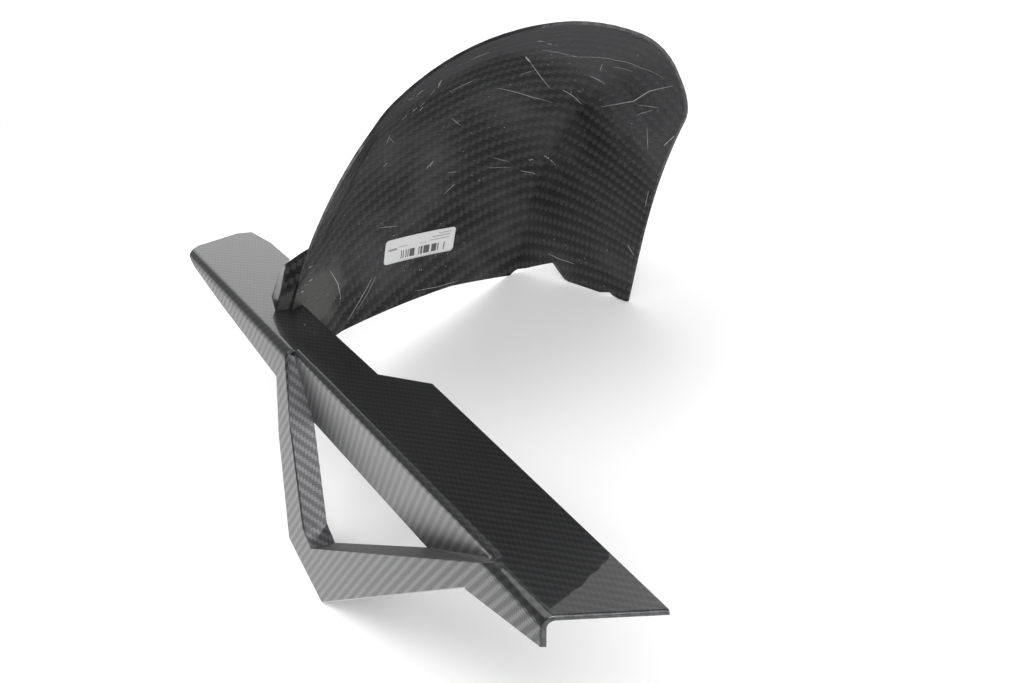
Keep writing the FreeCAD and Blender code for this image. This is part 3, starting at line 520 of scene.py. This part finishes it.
def coated_carbon(name, dark, light, coat_weight, coat_gloss):
    """Carbon twill under a clear coat with slow waves."""
    carbon = settings().carbon
    material = bpy.data.materials.new(name)
    nodes = Nodes(new_tree(material))
    over, height = twill(nodes, carbon.tow)
    shader = nodes.add("ShaderNodeBsdfPrincipled")
    # Tows on top and the crowns of the tows are lighter, the weave's low places darker: painted sheen and
    # painted shade
    tint = nodes.math("MULTIPLY_ADD", height, 1.0 - TOP_TOW, nodes.math("MULTIPLY", over, TOP_TOW))
    nodes.join(nodes.blend(tint, dark, light), shader.inputs["Base Color"])
    shader.inputs["Metallic"].default_value = carbon.fibre
    shader.inputs["Roughness"].default_value = carbon.tow_gloss
    shader.inputs["Coat Weight"].default_value = coat_weight
    shader.inputs["Coat Roughness"].default_value = coat_gloss
    shader.inputs["Coat IOR"].default_value = COAT_IOR
    nodes.join(nodes.bump(height, *WEAVE), shader.inputs["Normal"])
    place = nodes.add("ShaderNodeTexCoord").outputs["Object"]
    axes = nodes.split(place)
    slant = nodes.math("MULTIPLY_ADD", axes["X"], DROOP_SLANT, RIDGE.y + DROOP_RUN)
    to_end = nodes.math("SUBTRACT", slant, axes["Y"])
    share = nodes.math("DIVIDE", nodes.math("MAXIMUM", to_end, 0.0), DROOP_RUN)
    fall = nodes.math("MULTIPLY", nodes.math("POWER", share, 2.0), -carbon.droop)
    waves = nodes.math("MULTIPLY", nodes.noise(place, *COAT_WAVES), carbon.ripple)
    nodes.join(nodes.bump(nodes.math("ADD", fall, waves), 1.0, 1.0), shader.inputs["Coat Normal"])
    finish_material(nodes, shader)
    return material


def bare_carbon(path):
    """Bare twill of the hugger's inner face, with haze in clouds that grows lighter towards the rim, a groove
    along a path darkened as painted shade, and a rubbed patch.
    """
    carbon = settings().carbon
    material = bpy.data.materials.new("bare_inner_twill")
    nodes = Nodes(new_tree(material))
    over, height = twill(nodes, carbon.inner_tow)
    shader = nodes.add("ShaderNodeBsdfPrincipled")

    def laid(under, mask, strength, tint):
        return nodes.blend(nodes.math("MULTIPLY", mask, strength), under, tint)

    # Bands: the tows on top and their crowns lighter, the weave's low places darker, as painted shade and
    # painted sheen
    bands = nodes.math("MULTIPLY", nodes.math("MULTIPLY_ADD", over, INNER_TOP_TOW, 1.0 - INNER_TOP_TOW),
                       nodes.math("MULTIPLY_ADD", height, 0.5, 0.5))
    colour = nodes.blend(bands, carbon.inner_dark, carbon.inner_light)
    place = nodes.add("ShaderNodeTexCoord").outputs["Object"]
    spread = nodes.add("ShaderNodeUVMap", uv_map="spread").outputs["UV"]
    # The haze grows lighter towards the rim
    to_rim = nodes.ramp(nodes.split(spread)["Y"], *RIM_FADE)
    clouds = nodes.math("MULTIPLY_ADD", to_rim, RIM_BRIGHTENING, nodes.noise(place, *HAZE_CLOUDS))
    colour = laid(colour, nodes.ramp(clouds, *HAZE_FADE), *HAZE)
    patch = nodes.vector("LENGTH", nodes.vector("SUBTRACT", place, PATCH))
    rough_edge = nodes.math("MULTIPLY_ADD", nodes.noise(place, *RESIN_EDGE), PATCH_RAG, patch)
    colour = laid(colour, nodes.ramp(rough_edge, *PATCH_FADE), *RESIN)
    lines = [nodes.off_segment(spread, start, stop) for start, stop in zip(path, path[1:])]
    nearest = lines[0]
    for line in lines[1:]:
        nearest = nodes.math("MINIMUM", nearest, line)
    # The groove along the left crease is darkened: painted shade
    groove = nodes.ramp(nearest, *GROOVE_FADE)
    colour = laid(colour, groove, *GROOVE_PAINTED_SHADE)
    nodes.join(colour, shader.inputs["Base Color"])
    shader.inputs["Roughness"].default_value = carbon.inner_gloss
    shader.inputs["Specular IOR Level"].default_value = 0.2
    depth = nodes.math("SUBTRACT", height, nodes.math("MULTIPLY", groove, GROOVE_DEPTH))
    nodes.join(nodes.bump(depth, *INNER_WEAVE), shader.inputs["Normal"])
    finish_material(nodes, shader)
    return material


def plain_material(name, colour, rough):
    """One colour with one roughness."""
    material = bpy.data.materials.new(name)
    nodes = Nodes(new_tree(material))
    shader = nodes.add("ShaderNodeBsdfPrincipled")
    shader.inputs["Base Color"].default_value = (*colour, 1.0)
    shader.inputs["Roughness"].default_value = rough
    finish_material(nodes, shader)
    return material


def section_value(series, angle):
    """A section's size at an angle about the wheel axis, between the lofted sections."""
    spots = SECTION_ANGLES
    if angle <= spots[0]:
        return series[0]
    for i in range(len(spots) - 1):
        if angle <= spots[i + 1]:
            part = (angle - spots[i]) / (spots[i + 1] - spots[i])
            return series[i] + part * (series[i + 1] - series[i])
    return series[-1]


def wheel_place(point):
    """Angle ahead of the vertical in degrees and radius about the wheel axis."""
    ahead = point.y - WHEEL.y
    up = point.z - WHEEL.z
    return math.degrees(math.atan2(ahead, up)), math.hypot(ahead, up)


def unrolled(point):
    """Cloth map of the hugger: arc along the wheel and the developed width across it."""
    angle, radius = wheel_place(point)
    middle = section_value(SECTION_MIDDLES, angle) * MM + RIDGE.x
    half = section_value(SECTION_HALVES, angle) * MM
    crease = section_value(SECTION_CREASES, angle) * MM
    side = point.x - middle
    width = side
    if abs(side) > half:
        width = math.copysign(half + math.hypot(abs(side) - half, radius - crease), side)
    return width, math.radians(angle) * crease


def is_hugger(centre, normal):
    """Whether a face belongs to the hugger and not to the guard's flanges."""
    local = centre - RIDGE
    past_guard = local.x > HUGGER_RIGHT
    on_flange = FLANGE_LOW < local.z < FLANGE_HIGH and abs(normal.z) > FLANGE_LEVEL and not past_guard
    on_shell = local.x > HUGGER_LEFT and local.y > HUGGER_START and wheel_place(centre)[1] > HUGGER_RADIUS
    by_ear = local.x > EAR_LEFT and local.y > EAR_START and abs(normal.z) < EAR_LEVEL
    return on_shell and not on_flange and (local.z > HUGGER_RISE or past_guard or by_ear)


def cloth_place(face, corner):
    """Cloth map of one corner of a face, in metres."""
    point = corner.vert.co
    if face.material_index == INNER:
        turn = settings().carbon.inner_turn
        width, along = unrolled(point)
        return (width * math.cos(turn) + along * math.sin(turn),
                along * math.cos(turn) - width * math.sin(turn))
    normal = face.normal
    if is_hugger(face.calc_center_median(), normal):
        return unrolled(point)
    if abs(normal.z) > max(abs(normal.x), abs(normal.y)):
        return point.x, point.y
    if abs(normal.x) > abs(normal.y):
        return point.z, point.y
    return point.x, point.z


def linked(data, name):
    """A new object with its data, linked to the scene."""
    made = bpy.data.objects.new(name, data)
    bpy.context.scene.collection.objects.link(made)
    return made


def finish_piece(mesh, name, node):
    """Links a finished mesh, lets it stand for its node and ride on the part."""
    piece = linked(mesh, name)
    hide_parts(node)
    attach(piece, "root")
    return piece


def baked(piece):
    """A mesh of a piece with its modifiers applied; the piece itself is removed."""
    graph = bpy.context.evaluated_depsgraph_get()
    mesh = bpy.data.meshes.new_from_object(piece.evaluated_get(graph))
    bpy.data.objects.remove(piece)
    return mesh


class InnerFace:
    """The hugger's inner face as the wheel and the camera see it."""

    def __init__(self):
        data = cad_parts["fender"].data
        points = [vertex.co for vertex in data.vertices]
        self.tree = BVHTree.FromPolygons(points, [face.vertices[:] for face in data.polygons])

    def seen(self, pixel):
        """Distance from the ridge in mm and angle in degrees of a picture point."""
        focal = LENS / SENSOR * PICTURE[0]
        side = (pixel[0] - PICTURE[0] / 2) / focal
        rise = (PICTURE[1] / 2 - pixel[1]) / focal
        way = CAMERA_TURN.to_matrix() @ Vector((side, rise, -1.0))
        place = self.tree.ray_cast(CAMERA_PLACE, way.normalized())[0]
        if place is None:
            raise RuntimeError(f"no inner face at picture point {pixel}")
        return (place.x - RIDGE.x) / MM, wheel_place(place)[0]

    def spot(self, across, angle):
        """Place at a distance from the ridge in mm and an angle in degrees."""
        turn = math.radians(angle)
        way = Vector((0.0, math.sin(turn), math.cos(turn)))
        inner = LEFT_RAY_START if across < LEFT_WALL else RAY_START
        start = Vector((across * MM + RIDGE.x, WHEEL.y, WHEEL.z)) + way * inner
        place = self.tree.ray_cast(start, way)[0]
        if place is None:
            raise RuntimeError(f"no inner face at {across} mm and {angle} degrees")
        return place

    def path(self, pixels, step):
        """Places along a path of picture points, a few mm apart."""
        corners = [self.seen(pixel) for pixel in pixels]
        places = []
        for (x0, a0), (x1, a1) in zip(corners, corners[1:]):
            length = math.hypot(x1 - x0, (a1 - a0) * MM_PER_DEGREE)
            count = max(2, math.ceil(length / step))
            for i in range(count):
                places.append(self.spot(x0 + (x1 - x0) * i / count, a0 + (a1 - a0) * i / count))
        return places + [self.spot(*corners[-1])]


class FENDER_OT_moulding(bpy.types.Operator):
    """Make the carbon moulding with its cloth map, clear coat and bare inner face"""

    bl_idname = "fender.moulding"
    bl_label = "Carbon Moulding"

    def execute(self, context):
        mesh = bpy.data.meshes.new("carbon_moulding")
        shape = bmesh.new()
        shape.from_mesh(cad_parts["fender"].data)
        bmesh.ops.remove_doubles(shape, verts=shape.verts, dist=WELD)
        bmesh.ops.dissolve_degenerate(shape, edges=shape.edges, dist=SLIVER)
        self.soften(shape)
        shape.normal_update()
        cloth = shape.loops.layers.uv.new("cloth")
        spread = shape.loops.layers.uv.new("spread")
        for face in shape.faces:
            face.smooth = True
            face.material_index = self.kind(face)
            for corner in face.loops:
                corner[cloth].uv = cloth_place(face, corner)
                corner[spread].uv = unrolled(corner.vert.co)
        shape.to_mesh(mesh)
        shape.free()
        mesh.set_sharp_from_angle(angle=MOULDING_SHARP)
        for material in self.materials():
            mesh.materials.append(material)
        draft = linked(mesh, "moulding_draft")
        flat = draft.modifiers.new("flat faces lead", "WEIGHTED_NORMAL")
        flat.mode = "FACE_AREA"
        flat.weight = 100
        flat.keep_sharp = True
        finished = baked(draft)
        finished.name = "carbon_moulding"
        finish_piece(finished, "carbon_moulding", "fender")
        return {"FINISHED"}

    def materials(self):
        """The moulding's materials in the order of its slots."""
        carbon = settings().carbon
        groove = [(*unrolled(place), 0.0) for place in InnerFace().path(GROOVE, GROOVE_STEP)]
        side_coat = (carbon.side_coat, carbon.side_gloss)
        return (
            coated_carbon("clear_coated_twill", carbon.dark, carbon.light, 1.0, carbon.coat_gloss),
            bare_carbon(groove),
            # The guard's side: a copy of the carbon with brighter tows, painted sheen
            coated_carbon("side_twill_painted_sheen", carbon.side_dark, carbon.side, *side_coat),
            # The window's reveal: a lighter copy of the carbon, painted sheen
            coated_carbon("reveal_twill_painted_sheen", carbon.reveal_dark, carbon.reveal, *side_coat),
            # The window's ledge is the same coated carbon, given a plain dark colour as painted dark
            # reflection
            plain_material("ledge_painted_dark_reflection", carbon.inner_light, LEDGE_ROUGH),
        )

    def soften(self, shape):
        """Rounds the long edges of the guard's outer side and lays the recess's ends flush with the bend."""
        def on_guard(vert):
            local = (vert.co - RIDGE) / MM
            return local.x < EDGE_WITHIN and local.z < EDGE_TOP and EDGE_REACH[0] < local.y < EDGE_REACH[1]

        def turned(edge):
            return edge.is_convex and edge.calc_face_angle() > EDGE_TURN \
                and min(face.normal.x for face in edge.link_faces) < EDGE_FACING

        def side_edges():
            return [edge for edge in shape.edges
                    if all(map(on_guard, edge.verts)) and len(edge.link_faces) == 2]

        for vert in shape.verts:
            side = RIDGE.x + BEND - vert.co.x
            drop = vert.co.z - RIDGE.z + BEND
            reach = math.hypot(side, drop)
            if min(side, drop) > 0.0 and reach > BEND * BEND_SLACK:
                vert.co.x -= side * (BEND / reach - 1.0)
                vert.co.z += drop * (BEND / reach - 1.0)
        bmesh.ops.dissolve_limit(shape, angle_limit=FLAT_TURN, edges=side_edges(),
                                 verts=[vert for vert in shape.verts if on_guard(vert)])
        shape.normal_update()
        edges = [edge for edge in side_edges() if edge.calc_length() > EDGE_LEAST and turned(edge)]
        bmesh.ops.bevel(shape, geom=edges, offset=settings().carbon.edge, offset_type="OFFSET",
                        segments=EDGE_STEPS, profile=0.5, affect="EDGES", clamp_overlap=False)
        for vert in shape.verts:
            vert.co.x = max(vert.co.x, RIDGE.x)

    def kind(self, face):
        """Material of a face by its place and the way it faces."""
        if self.is_inner(face):
            return INNER
        place = (face.calc_center_median() - RIDGE) / MM
        if place.x > SIDE_WITHIN or place.z > SIDE_TOP:
            return MIRROR
        if place.x > FIN_SKIN and FIN_REACH[0] < place.y < FIN_REACH[1] and place.z < FIN_TOP:
            # Faces of the reveal that look towards the camera take the lighter copy: painted sheen
            if face.normal.y < REVEAL_FACING:
                return REVEAL
            # Upward ledge faces take the plain dark copy: painted dark reflection
            if face.normal.z > LEDGE_FACING:
                return LEDGE
        # Faces that look sideways take the copy of the carbon with painted sheen
        return SIDE if abs(face.normal.x) > SIDE_FACING else MIRROR

    def is_inner(self, face):
        """Whether a face looks at the wheel from inside the hugger."""
        centre = face.calc_center_median()
        if not is_hugger(centre, face.normal):
            return False
        inward = Vector((0.0, WHEEL.y - centre.y, WHEEL.z - centre.z)).normalized()
        middle = section_value(SECTION_MIDDLES, wheel_place(centre)[0]) * MM + RIDGE.x
        facing = inward + Vector((middle - centre.x, 0.0, 0.0)) * WALL_PULL
        return face.normal.dot(facing.normalized()) > INNER_FACING


class Tree:
    """Short way to build a Geometry Nodes tree with named inputs."""

    def __init__(self, name):
        self.group = bpy.data.node_groups.new(name, "GeometryNodeTree")
        self.group.interface.new_socket("Geometry", in_out="OUTPUT", socket_type="NodeSocketGeometry")
        self.keys = {}
        self.input("Geometry", "NodeSocketGeometry")
        self.start = self.group.nodes.new("NodeGroupInput")
        self.stop = self.group.nodes.new("NodeGroupOutput")

    def input(self, name, kind):
        self.keys[name] = self.group.interface.new_socket(name, in_out="INPUT", socket_type=kind).identifier

    def given(self, name):
        return self.start.outputs[name]

    def add(self, kind, links=None, values=None, **settings_of_node):
        node = self.group.nodes.new(kind)
        for name, value in settings_of_node.items():
            setattr(node, name, value)
        for name, source in (links or {}).items():
            self.group.links.new(source, node.inputs[name])
        for name, value in (values or {}).items():
            node.inputs[name].default_value = value
        return node

    def finish(self, source):
        self.group.links.new(source, self.stop.inputs["Geometry"])

    def on(self, piece, values):
        """Puts the tree on a piece with values for its named inputs."""
        modifier = piece.modifiers.new(self.group.name, "NODES")
        modifier.node_group = self.group
        for name, value in values.items():
            modifier[self.keys[name]] = value


class FENDER_OT_scuffs(bpy.types.Operator):
    """Lay scratches, specks and rubbed spots on the hugger's inner face"""

    bl_idname = "fender.scuffs"
    bl_label = "Scuffs"

    def execute(self, context):
        scuffs = settings().scuffs
        face = InnerFace()
        resin = plain_material("rubbed_resin", scuffs.colour, SCRATCH_ROUGH)
        self.place(self.scratches(scuffs, face, resin), "scratches")
        self.place(self.specks(scuffs, face, resin), "rubbed_specks")
        return {"FINISHED"}

    def place(self, mesh, name):
        mesh.name = name
        piece = linked(mesh, name)
        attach(piece, "root")

    def bead_tree(self):
        """Round beads along curves, as thick as the curves' points say."""
        tree = Tree("scratch beads")
        tree.input("Corners", "NodeSocketInt")
        tree.input("Material", "NodeSocketMaterial")
        ring = tree.add("GeometryNodeCurvePrimitiveCircle", {
            "Resolution": tree.given("Corners")}, {"Radius": 1.0})
        radius = tree.add("GeometryNodeInputRadius")
        bead = tree.add("GeometryNodeCurveToMesh", {
            "Curve": tree.given("Geometry"), "Profile Curve": ring.outputs["Curve"],
            "Scale": radius.outputs["Radius"]}, {"Fill Caps": True})
        dressed = tree.add("GeometryNodeSetMaterial", {
            "Geometry": bead.outputs["Mesh"], "Material": tree.given("Material")})
        tree.finish(dressed.outputs["Geometry"])
        return tree

    def scratches(self, scuffs, face, resin):
        """Beads along the scratches, thinner at both ends."""
        lines = bpy.data.curves.new("scratch_lines", "CURVE")
        lines.dimensions = "3D"
        for weight, pixels in SCRATCHES:
            places = face.path(pixels, SCRATCH_STEP)
            spline = lines.splines.new("POLY")
            spline.points.add(len(places) - 1)
            for i, place in enumerate(places):
                taper = SCRATCH_TIP + (1.0 - SCRATCH_TIP) * math.sin(math.pi * (i + 0.5) / len(places))
                spline.points[i].co = (*place, 1.0)
                spline.points[i].radius = taper * weight * scuffs.width / 2
        draft = linked(lines, "scratch_draft")
        self.bead_tree().on(draft, {"Corners": SCRATCH_CORNERS, "Material": resin})
        return baked(draft)

    def speck_tree(self):
        """Flat grains, thin in clouds over a mesh and thick on the rubbed spots."""
        tree = Tree("rubbed specks")
        for name, kind in (("Rubs", "NodeSocketObject"), ("Density", "NodeSocketFloat"),
                           ("Rub Density", "NodeSocketFloat"), ("Size", "NodeSocketFloat"),
                           ("Seed", "NodeSocketInt"), ("Material", "NodeSocketMaterial")):
            tree.input(name, kind)
        cloud = tree.add("ShaderNodeTexNoise", None, {"Scale": 13.0, "Detail": 4.0})
        patchy = tree.add("ShaderNodeMapRange", {"Value": cloud.outputs["Fac"]}, {
            "From Min": 0.5, "From Max": 0.72, "To Min": 0.02, "To Max": 1.0})
        dense = tree.add("ShaderNodeMath", operation="MULTIPLY")
        tree.group.links.new(patchy.outputs["Result"], dense.inputs[0])
        tree.group.links.new(tree.given("Density"), dense.inputs[1])
        thin = tree.add("GeometryNodeDistributePointsOnFaces", {
            "Mesh": tree.given("Geometry"), "Density": dense.outputs[0], "Seed": tree.given("Seed")})
        rubs = tree.add("GeometryNodeObjectInfo", {"Object": tree.given("Rubs")})
        thick = tree.add("GeometryNodeDistributePointsOnFaces", {
            "Mesh": rubs.outputs["Geometry"], "Density": tree.given("Rub Density"),
            "Seed": tree.given("Seed")})
        grain = tree.add("GeometryNodeMeshIcoSphere", {"Radius": tree.given("Size")}, {"Subdivisions": 1})
        vary = tree.add("FunctionNodeRandomValue", {"Seed": tree.given("Seed")}, {
            "Min": GRAIN_LEAST, "Max": GRAIN_MOST}, data_type="FLOAT_VECTOR")
        both = tree.add("GeometryNodeJoinGeometry")
        for spots in (thin, thick):
            laid = tree.add("GeometryNodeInstanceOnPoints", {
                "Points": spots.outputs["Points"], "Instance": grain.outputs["Mesh"],
                "Rotation": spots.outputs["Rotation"], "Scale": vary.outputs["Value"]})
            tree.group.links.new(laid.outputs["Instances"], both.inputs["Geometry"])
        real = tree.add("GeometryNodeRealizeInstances", {"Geometry": both.outputs["Geometry"]})
        dressed = tree.add("GeometryNodeSetMaterial", {
            "Geometry": real.outputs["Geometry"], "Material": tree.given("Material")})
        tree.finish(dressed.outputs["Geometry"])
        return tree

    def specks(self, scuffs, face, resin):
        """Grains of rubbed resin on the inner face."""
        rubbed = self.rub_spots(face)
        draft = linked(self.inner_mesh(), "speck_draft")
        self.speck_tree().on(draft, {
            "Rubs": rubbed, "Density": scuffs.specks, "Rub Density": scuffs.rubbed,
            "Size": scuffs.speck_size, "Seed": scuffs.seed, "Material": resin})
        mesh = baked(draft)
        bpy.data.objects.remove(rubbed)
        return mesh

    def rub_spots(self, face):
        """Small uneven patches on the inner face at the rubbed places."""
        shape = bmesh.new()
        for index, (size, pixel) in enumerate(RUBS):
            across, angle = face.seen(pixel)
            rim = []
            for i in range(RUB_CORNERS):
                turn = 2 * math.pi * i / RUB_CORNERS
                reach = size * (0.6 + 0.4 * math.sin(3 * turn + index) * math.cos(2 * turn + 5 * index))
                side = reach * math.cos(turn)
                along = 0.6 * reach * math.sin(turn + 0.6 * index)
                rim.append(shape.verts.new(face.spot(across + side, angle + along / MM_PER_DEGREE)))
            middle = shape.verts.new(face.spot(across, angle))
            for first, second in zip(rim, rim[1:] + rim[:1]):
                shape.faces.new((middle, first, second))
        mesh = bpy.data.meshes.new("rub_spots")
        shape.to_mesh(mesh)
        shape.free()
        return linked(mesh, "rub_spots")

    def inner_mesh(self):
        """The moulding's inner faces alone."""
        shape = bmesh.new()
        shape.from_mesh(bpy.data.objects["carbon_moulding"].data)
        outside = [face for face in shape.faces if face.material_index != INNER]
        bmesh.ops.delete(shape, geom=outside, context="FACES")
        mesh = bpy.data.meshes.new("inner_face")
        shape.to_mesh(mesh)
        shape.free()
        return mesh


class FENDER_OT_label(bpy.types.Operator):
    """Make the paper label with its plain printed strips"""

    bl_idname = "fender.label"
    bl_label = "Paper Label"

    def execute(self, context):
        label = settings().label
        mesh = bpy.data.meshes.new("paper_label")
        shape = bmesh.new()
        shape.from_mesh(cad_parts["blank_label"].data)
        bmesh.ops.remove_doubles(shape, verts=shape.verts, dist=WELD)
        shape.normal_update()
        low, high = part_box("blank_label")
        centre = (Vector(low) + Vector(high)) / 2
        cosine = math.cos(LABEL_TURN)
        sine = math.sin(LABEL_TURN)
        print_map = shape.loops.layers.uv.new("print")
        for face in shape.faces:
            face.smooth = True
            for corner in face.loops:
                side = corner.vert.co.x - centre.x
                up = corner.vert.co.z - centre.z
                corner[print_map].uv = (side * cosine + up * sine, up * cosine - side * sine)
        shape.to_mesh(mesh)
        shape.free()
        mesh.set_sharp_from_angle(angle=LABEL_SHARP)
        mesh.materials.append(self.paper(label))
        finish_piece(mesh, "paper_label", "blank_label")
        return {"FINISHED"}

    def paper(self, label):
        """White paper with plain printed bars and strips."""
        material = bpy.data.materials.new("printed_paper")
        nodes = Nodes(new_tree(material))
        sheet = nodes.split(nodes.add("ShaderNodeUVMap", uv_map="print").outputs["UV"])
        side = sheet["X"]

        def within(value, low, high):
            return nodes.math("MULTIPLY", nodes.math("GREATER_THAN", value, low),
                              nodes.math("LESS_THAN", value, high))

        def field(left, right, low, high):
            return nodes.math("MULTIPLY", within(side, left * MM, right * MM),
                              within(sheet["Y"], low * MM, high * MM))

        pitch = (BARS_FIELD[1] - BARS_FIELD[0]) * MM / label.bars
        place = nodes.math("FLOOR", nodes.math("DIVIDE", side, pitch))
        dice = nodes.add("ShaderNodeTexWhiteNoise", noise_dimensions="1D")
        nodes.join(place, dice.inputs["W"])
        bar = nodes.math("GREATER_THAN", dice.outputs["Value"], BARS_LEFT_OUT)
        ink = nodes.math("MULTIPLY", nodes.math("MULTIPLY", bar, field(*BARS_FIELD)), BARS_INK)
        for strength, edges in STRIPS:
            ink = nodes.math("MAXIMUM", ink, nodes.math("MULTIPLY", field(*edges), strength))
        shader = nodes.add("ShaderNodeBsdfPrincipled")
        nodes.join(nodes.blend(ink, label.paper, label.ink), shader.inputs["Base Color"])
        shader.inputs["Roughness"].default_value = PAPER_ROUGH
        finish_material(nodes, shader)
        return material


class FENDER_OT_stage(bpy.types.Operator):
    """Make the floor, the light and the camera"""

    bl_idname = "fender.stage"
    bl_label = "Studio"

    def execute(self, context):
        stage = settings().stage
        scene = context.scene
        floor = self.floor(stage, TABLE_TOUCH - TABLE_UP * TABLE_GAP)
        self.surroundings(scene, stage)
        self.lamp("overhead", stage.over, *OVER_LAMP)
        self.lamp("side", stage.side, *SIDE_LAMP, mirrored=False)
        self.lamp("front", stage.front, *FRONT_LAMP)
        view = bpy.data.cameras.new("view")
        view.lens = stage.lens
        view.sensor_width = SENSOR
        camera = linked(view, "view")
        camera.location = CAMERA_PLACE
        camera.rotation_euler = CAMERA_TURN
        scene.camera = camera
        scene.view_settings.view_transform = "Standard"
        return {"FINISHED"}

    def lamp(self, name, power, size, away, mirrored=True):
        """A round lamp that looks at the part from a way off, and may stay out of reflections."""
        light = bpy.data.lights.new(name, "AREA")
        light.shape = "DISK"
        light.size = size
        light.energy = power
        lamp = linked(light, name)
        lamp.location = LIT_PLACE + away
        lamp.rotation_euler = (-away).to_track_quat("-Z", "Y").to_euler()
        lamp.visible_glossy = mirrored

    def floor(self, stage, touch):
        """Tilted table under the part."""
        mesh = bpy.data.meshes.new("floor")
        shape = bmesh.new()
        bmesh.ops.create_circle(shape, cap_ends=True, segments=FLOOR_CORNERS, radius=FLOOR_RADIUS)
        bmesh.ops.transform(shape, verts=shape.verts, matrix=Matrix.Translation(touch)
                            @ TABLE_UP.to_track_quat("Z", "Y").to_matrix().to_4x4())
        shape.to_mesh(mesh)
        shape.free()
        mesh.materials.append(self.pale_floor(stage, touch))
        return linked(mesh, "floor")

    def pale_floor(self, stage, touch):
        """White that keeps the part's shadow, glows white at its rim and is clear from below."""
        material = bpy.data.materials.new("pale_floor")
        nodes = Nodes(new_tree(material))
        matt = nodes.add("ShaderNodeBsdfDiffuse")
        matt.inputs["Color"].default_value = (*stage.floor, 1.0)
        thin = nodes.add("ShaderNodeBsdfDiffuse")
        thin.inputs["Color"].default_value = (*stage.shaded, 1.0)
        lift = nodes.add("ShaderNodeEmission")
        lift.inputs["Strength"].default_value = stage.lift
        shown = nodes.add("ShaderNodeAddShader")
        nodes.join(thin.outputs[0], shown.inputs[0])
        nodes.join(lift.outputs[0], shown.inputs[1])
        place = nodes.add("ShaderNodeTexCoord").outputs["Object"]
        off_touch = nodes.vector("LENGTH", nodes.vector("SUBTRACT", place, touch))
        rim = nodes.mixed(nodes.ramp(off_touch, *FLOOR_FADE), shown, nodes.add("ShaderNodeEmission"))
        seen = nodes.mixed(self.seen(nodes), matt, rim)
        below = nodes.add("ShaderNodeNewGeometry").outputs["Backfacing"]
        finish_material(nodes, nodes.mixed(below, seen, nodes.add("ShaderNodeBsdfTransparent")))
        return material

    def seen(self, nodes):
        """Whether the camera sees a place, straight or in a reflection."""
        path = nodes.add("ShaderNodeLightPath").outputs
        mirrored = nodes.math("MAXIMUM", path["Is Glossy Ray"], path["Is Transmission Ray"])
        return nodes.math("MAXIMUM", path["Is Camera Ray"], mirrored)

    def surroundings(self, scene, stage):
        """White room with a darker upper left part in reflections, as beside a lit backdrop."""
        world = bpy.data.worlds.new("white_room")
        scene.world = world
        world.use_nodes = True
        world.node_tree.nodes.clear()
        nodes = Nodes(world.node_tree)
        way = nodes.add("ShaderNodeTexCoord").outputs["Generated"]
        to_dark = TABLE_UP - TABLE_RIGHT * DARK_LEAN
        rise = nodes.ramp(nodes.vector("DOT_PRODUCT", way, to_dark), *DARK_FADE)
        room = nodes.math("MULTIPLY_ADD", rise, stage.dark - 1.0, 1.0)
        path = nodes.add("ShaderNodeLightPath").outputs
        mirrored = nodes.math("MAXIMUM", path["Is Glossy Ray"], path["Is Transmission Ray"])
        shown = nodes.math("MAXIMUM", nodes.math("MULTIPLY", mirrored, room), path["Is Camera Ray"])
        plain = nodes.math("MULTIPLY", nodes.math("SUBTRACT", 1.0, self.seen(nodes)), stage.fill)
        white = nodes.add("ShaderNodeBackground")
        white.inputs["Color"].default_value = (1.0, 1.0, 1.0, 1.0)
        nodes.join(nodes.math("ADD", shown, plain), white.inputs["Strength"])
        output = nodes.add("ShaderNodeOutputWorld")
        nodes.join(white.outputs[0], output.inputs["Surface"])


class FenderSettings(bpy.types.PropertyGroup):
    """All settings of the fender's dressing."""

    carbon: PointerProperty(type=CarbonSettings)
    scuffs: PointerProperty(type=ScuffSettings)
    label: PointerProperty(type=LabelSettings)
    stage: PointerProperty(type=StageSettings)


class FENDER_PT_panel(bpy.types.Panel):
    """Sidebar panel with the fender's steps"""

    bl_idname = "FENDER_PT_panel"
    bl_label = "Rear Fender"
    bl_space_type = "VIEW_3D"
    bl_region_type = "UI"
    bl_category = "Fender"

    def draw(self, context):
        for step in STEPS:
            self.layout.operator(step.bl_idname)


STEPS = (FENDER_OT_moulding, FENDER_OT_scuffs, FENDER_OT_label, FENDER_OT_stage)
SETTINGS = (CarbonSettings, ScuffSettings, LabelSettings, StageSettings, FenderSettings)
CLASSES = (*SETTINGS, *STEPS, FENDER_PT_panel)


def register():
    for made in CLASSES:
        bpy.utils.register_class(made)
    bpy.types.Scene.fender = PointerProperty(type=FenderSettings)


def unregister():
    del bpy.types.Scene.fender
    for made in reversed(CLASSES):
        bpy.utils.unregister_class(made)


def main():
    register()
    bpy.ops.fender.moulding()
    bpy.ops.fender.scuffs()
    bpy.ops.fender.label()
    bpy.ops.fender.stage()


if __name__ == "__main__":
    main()
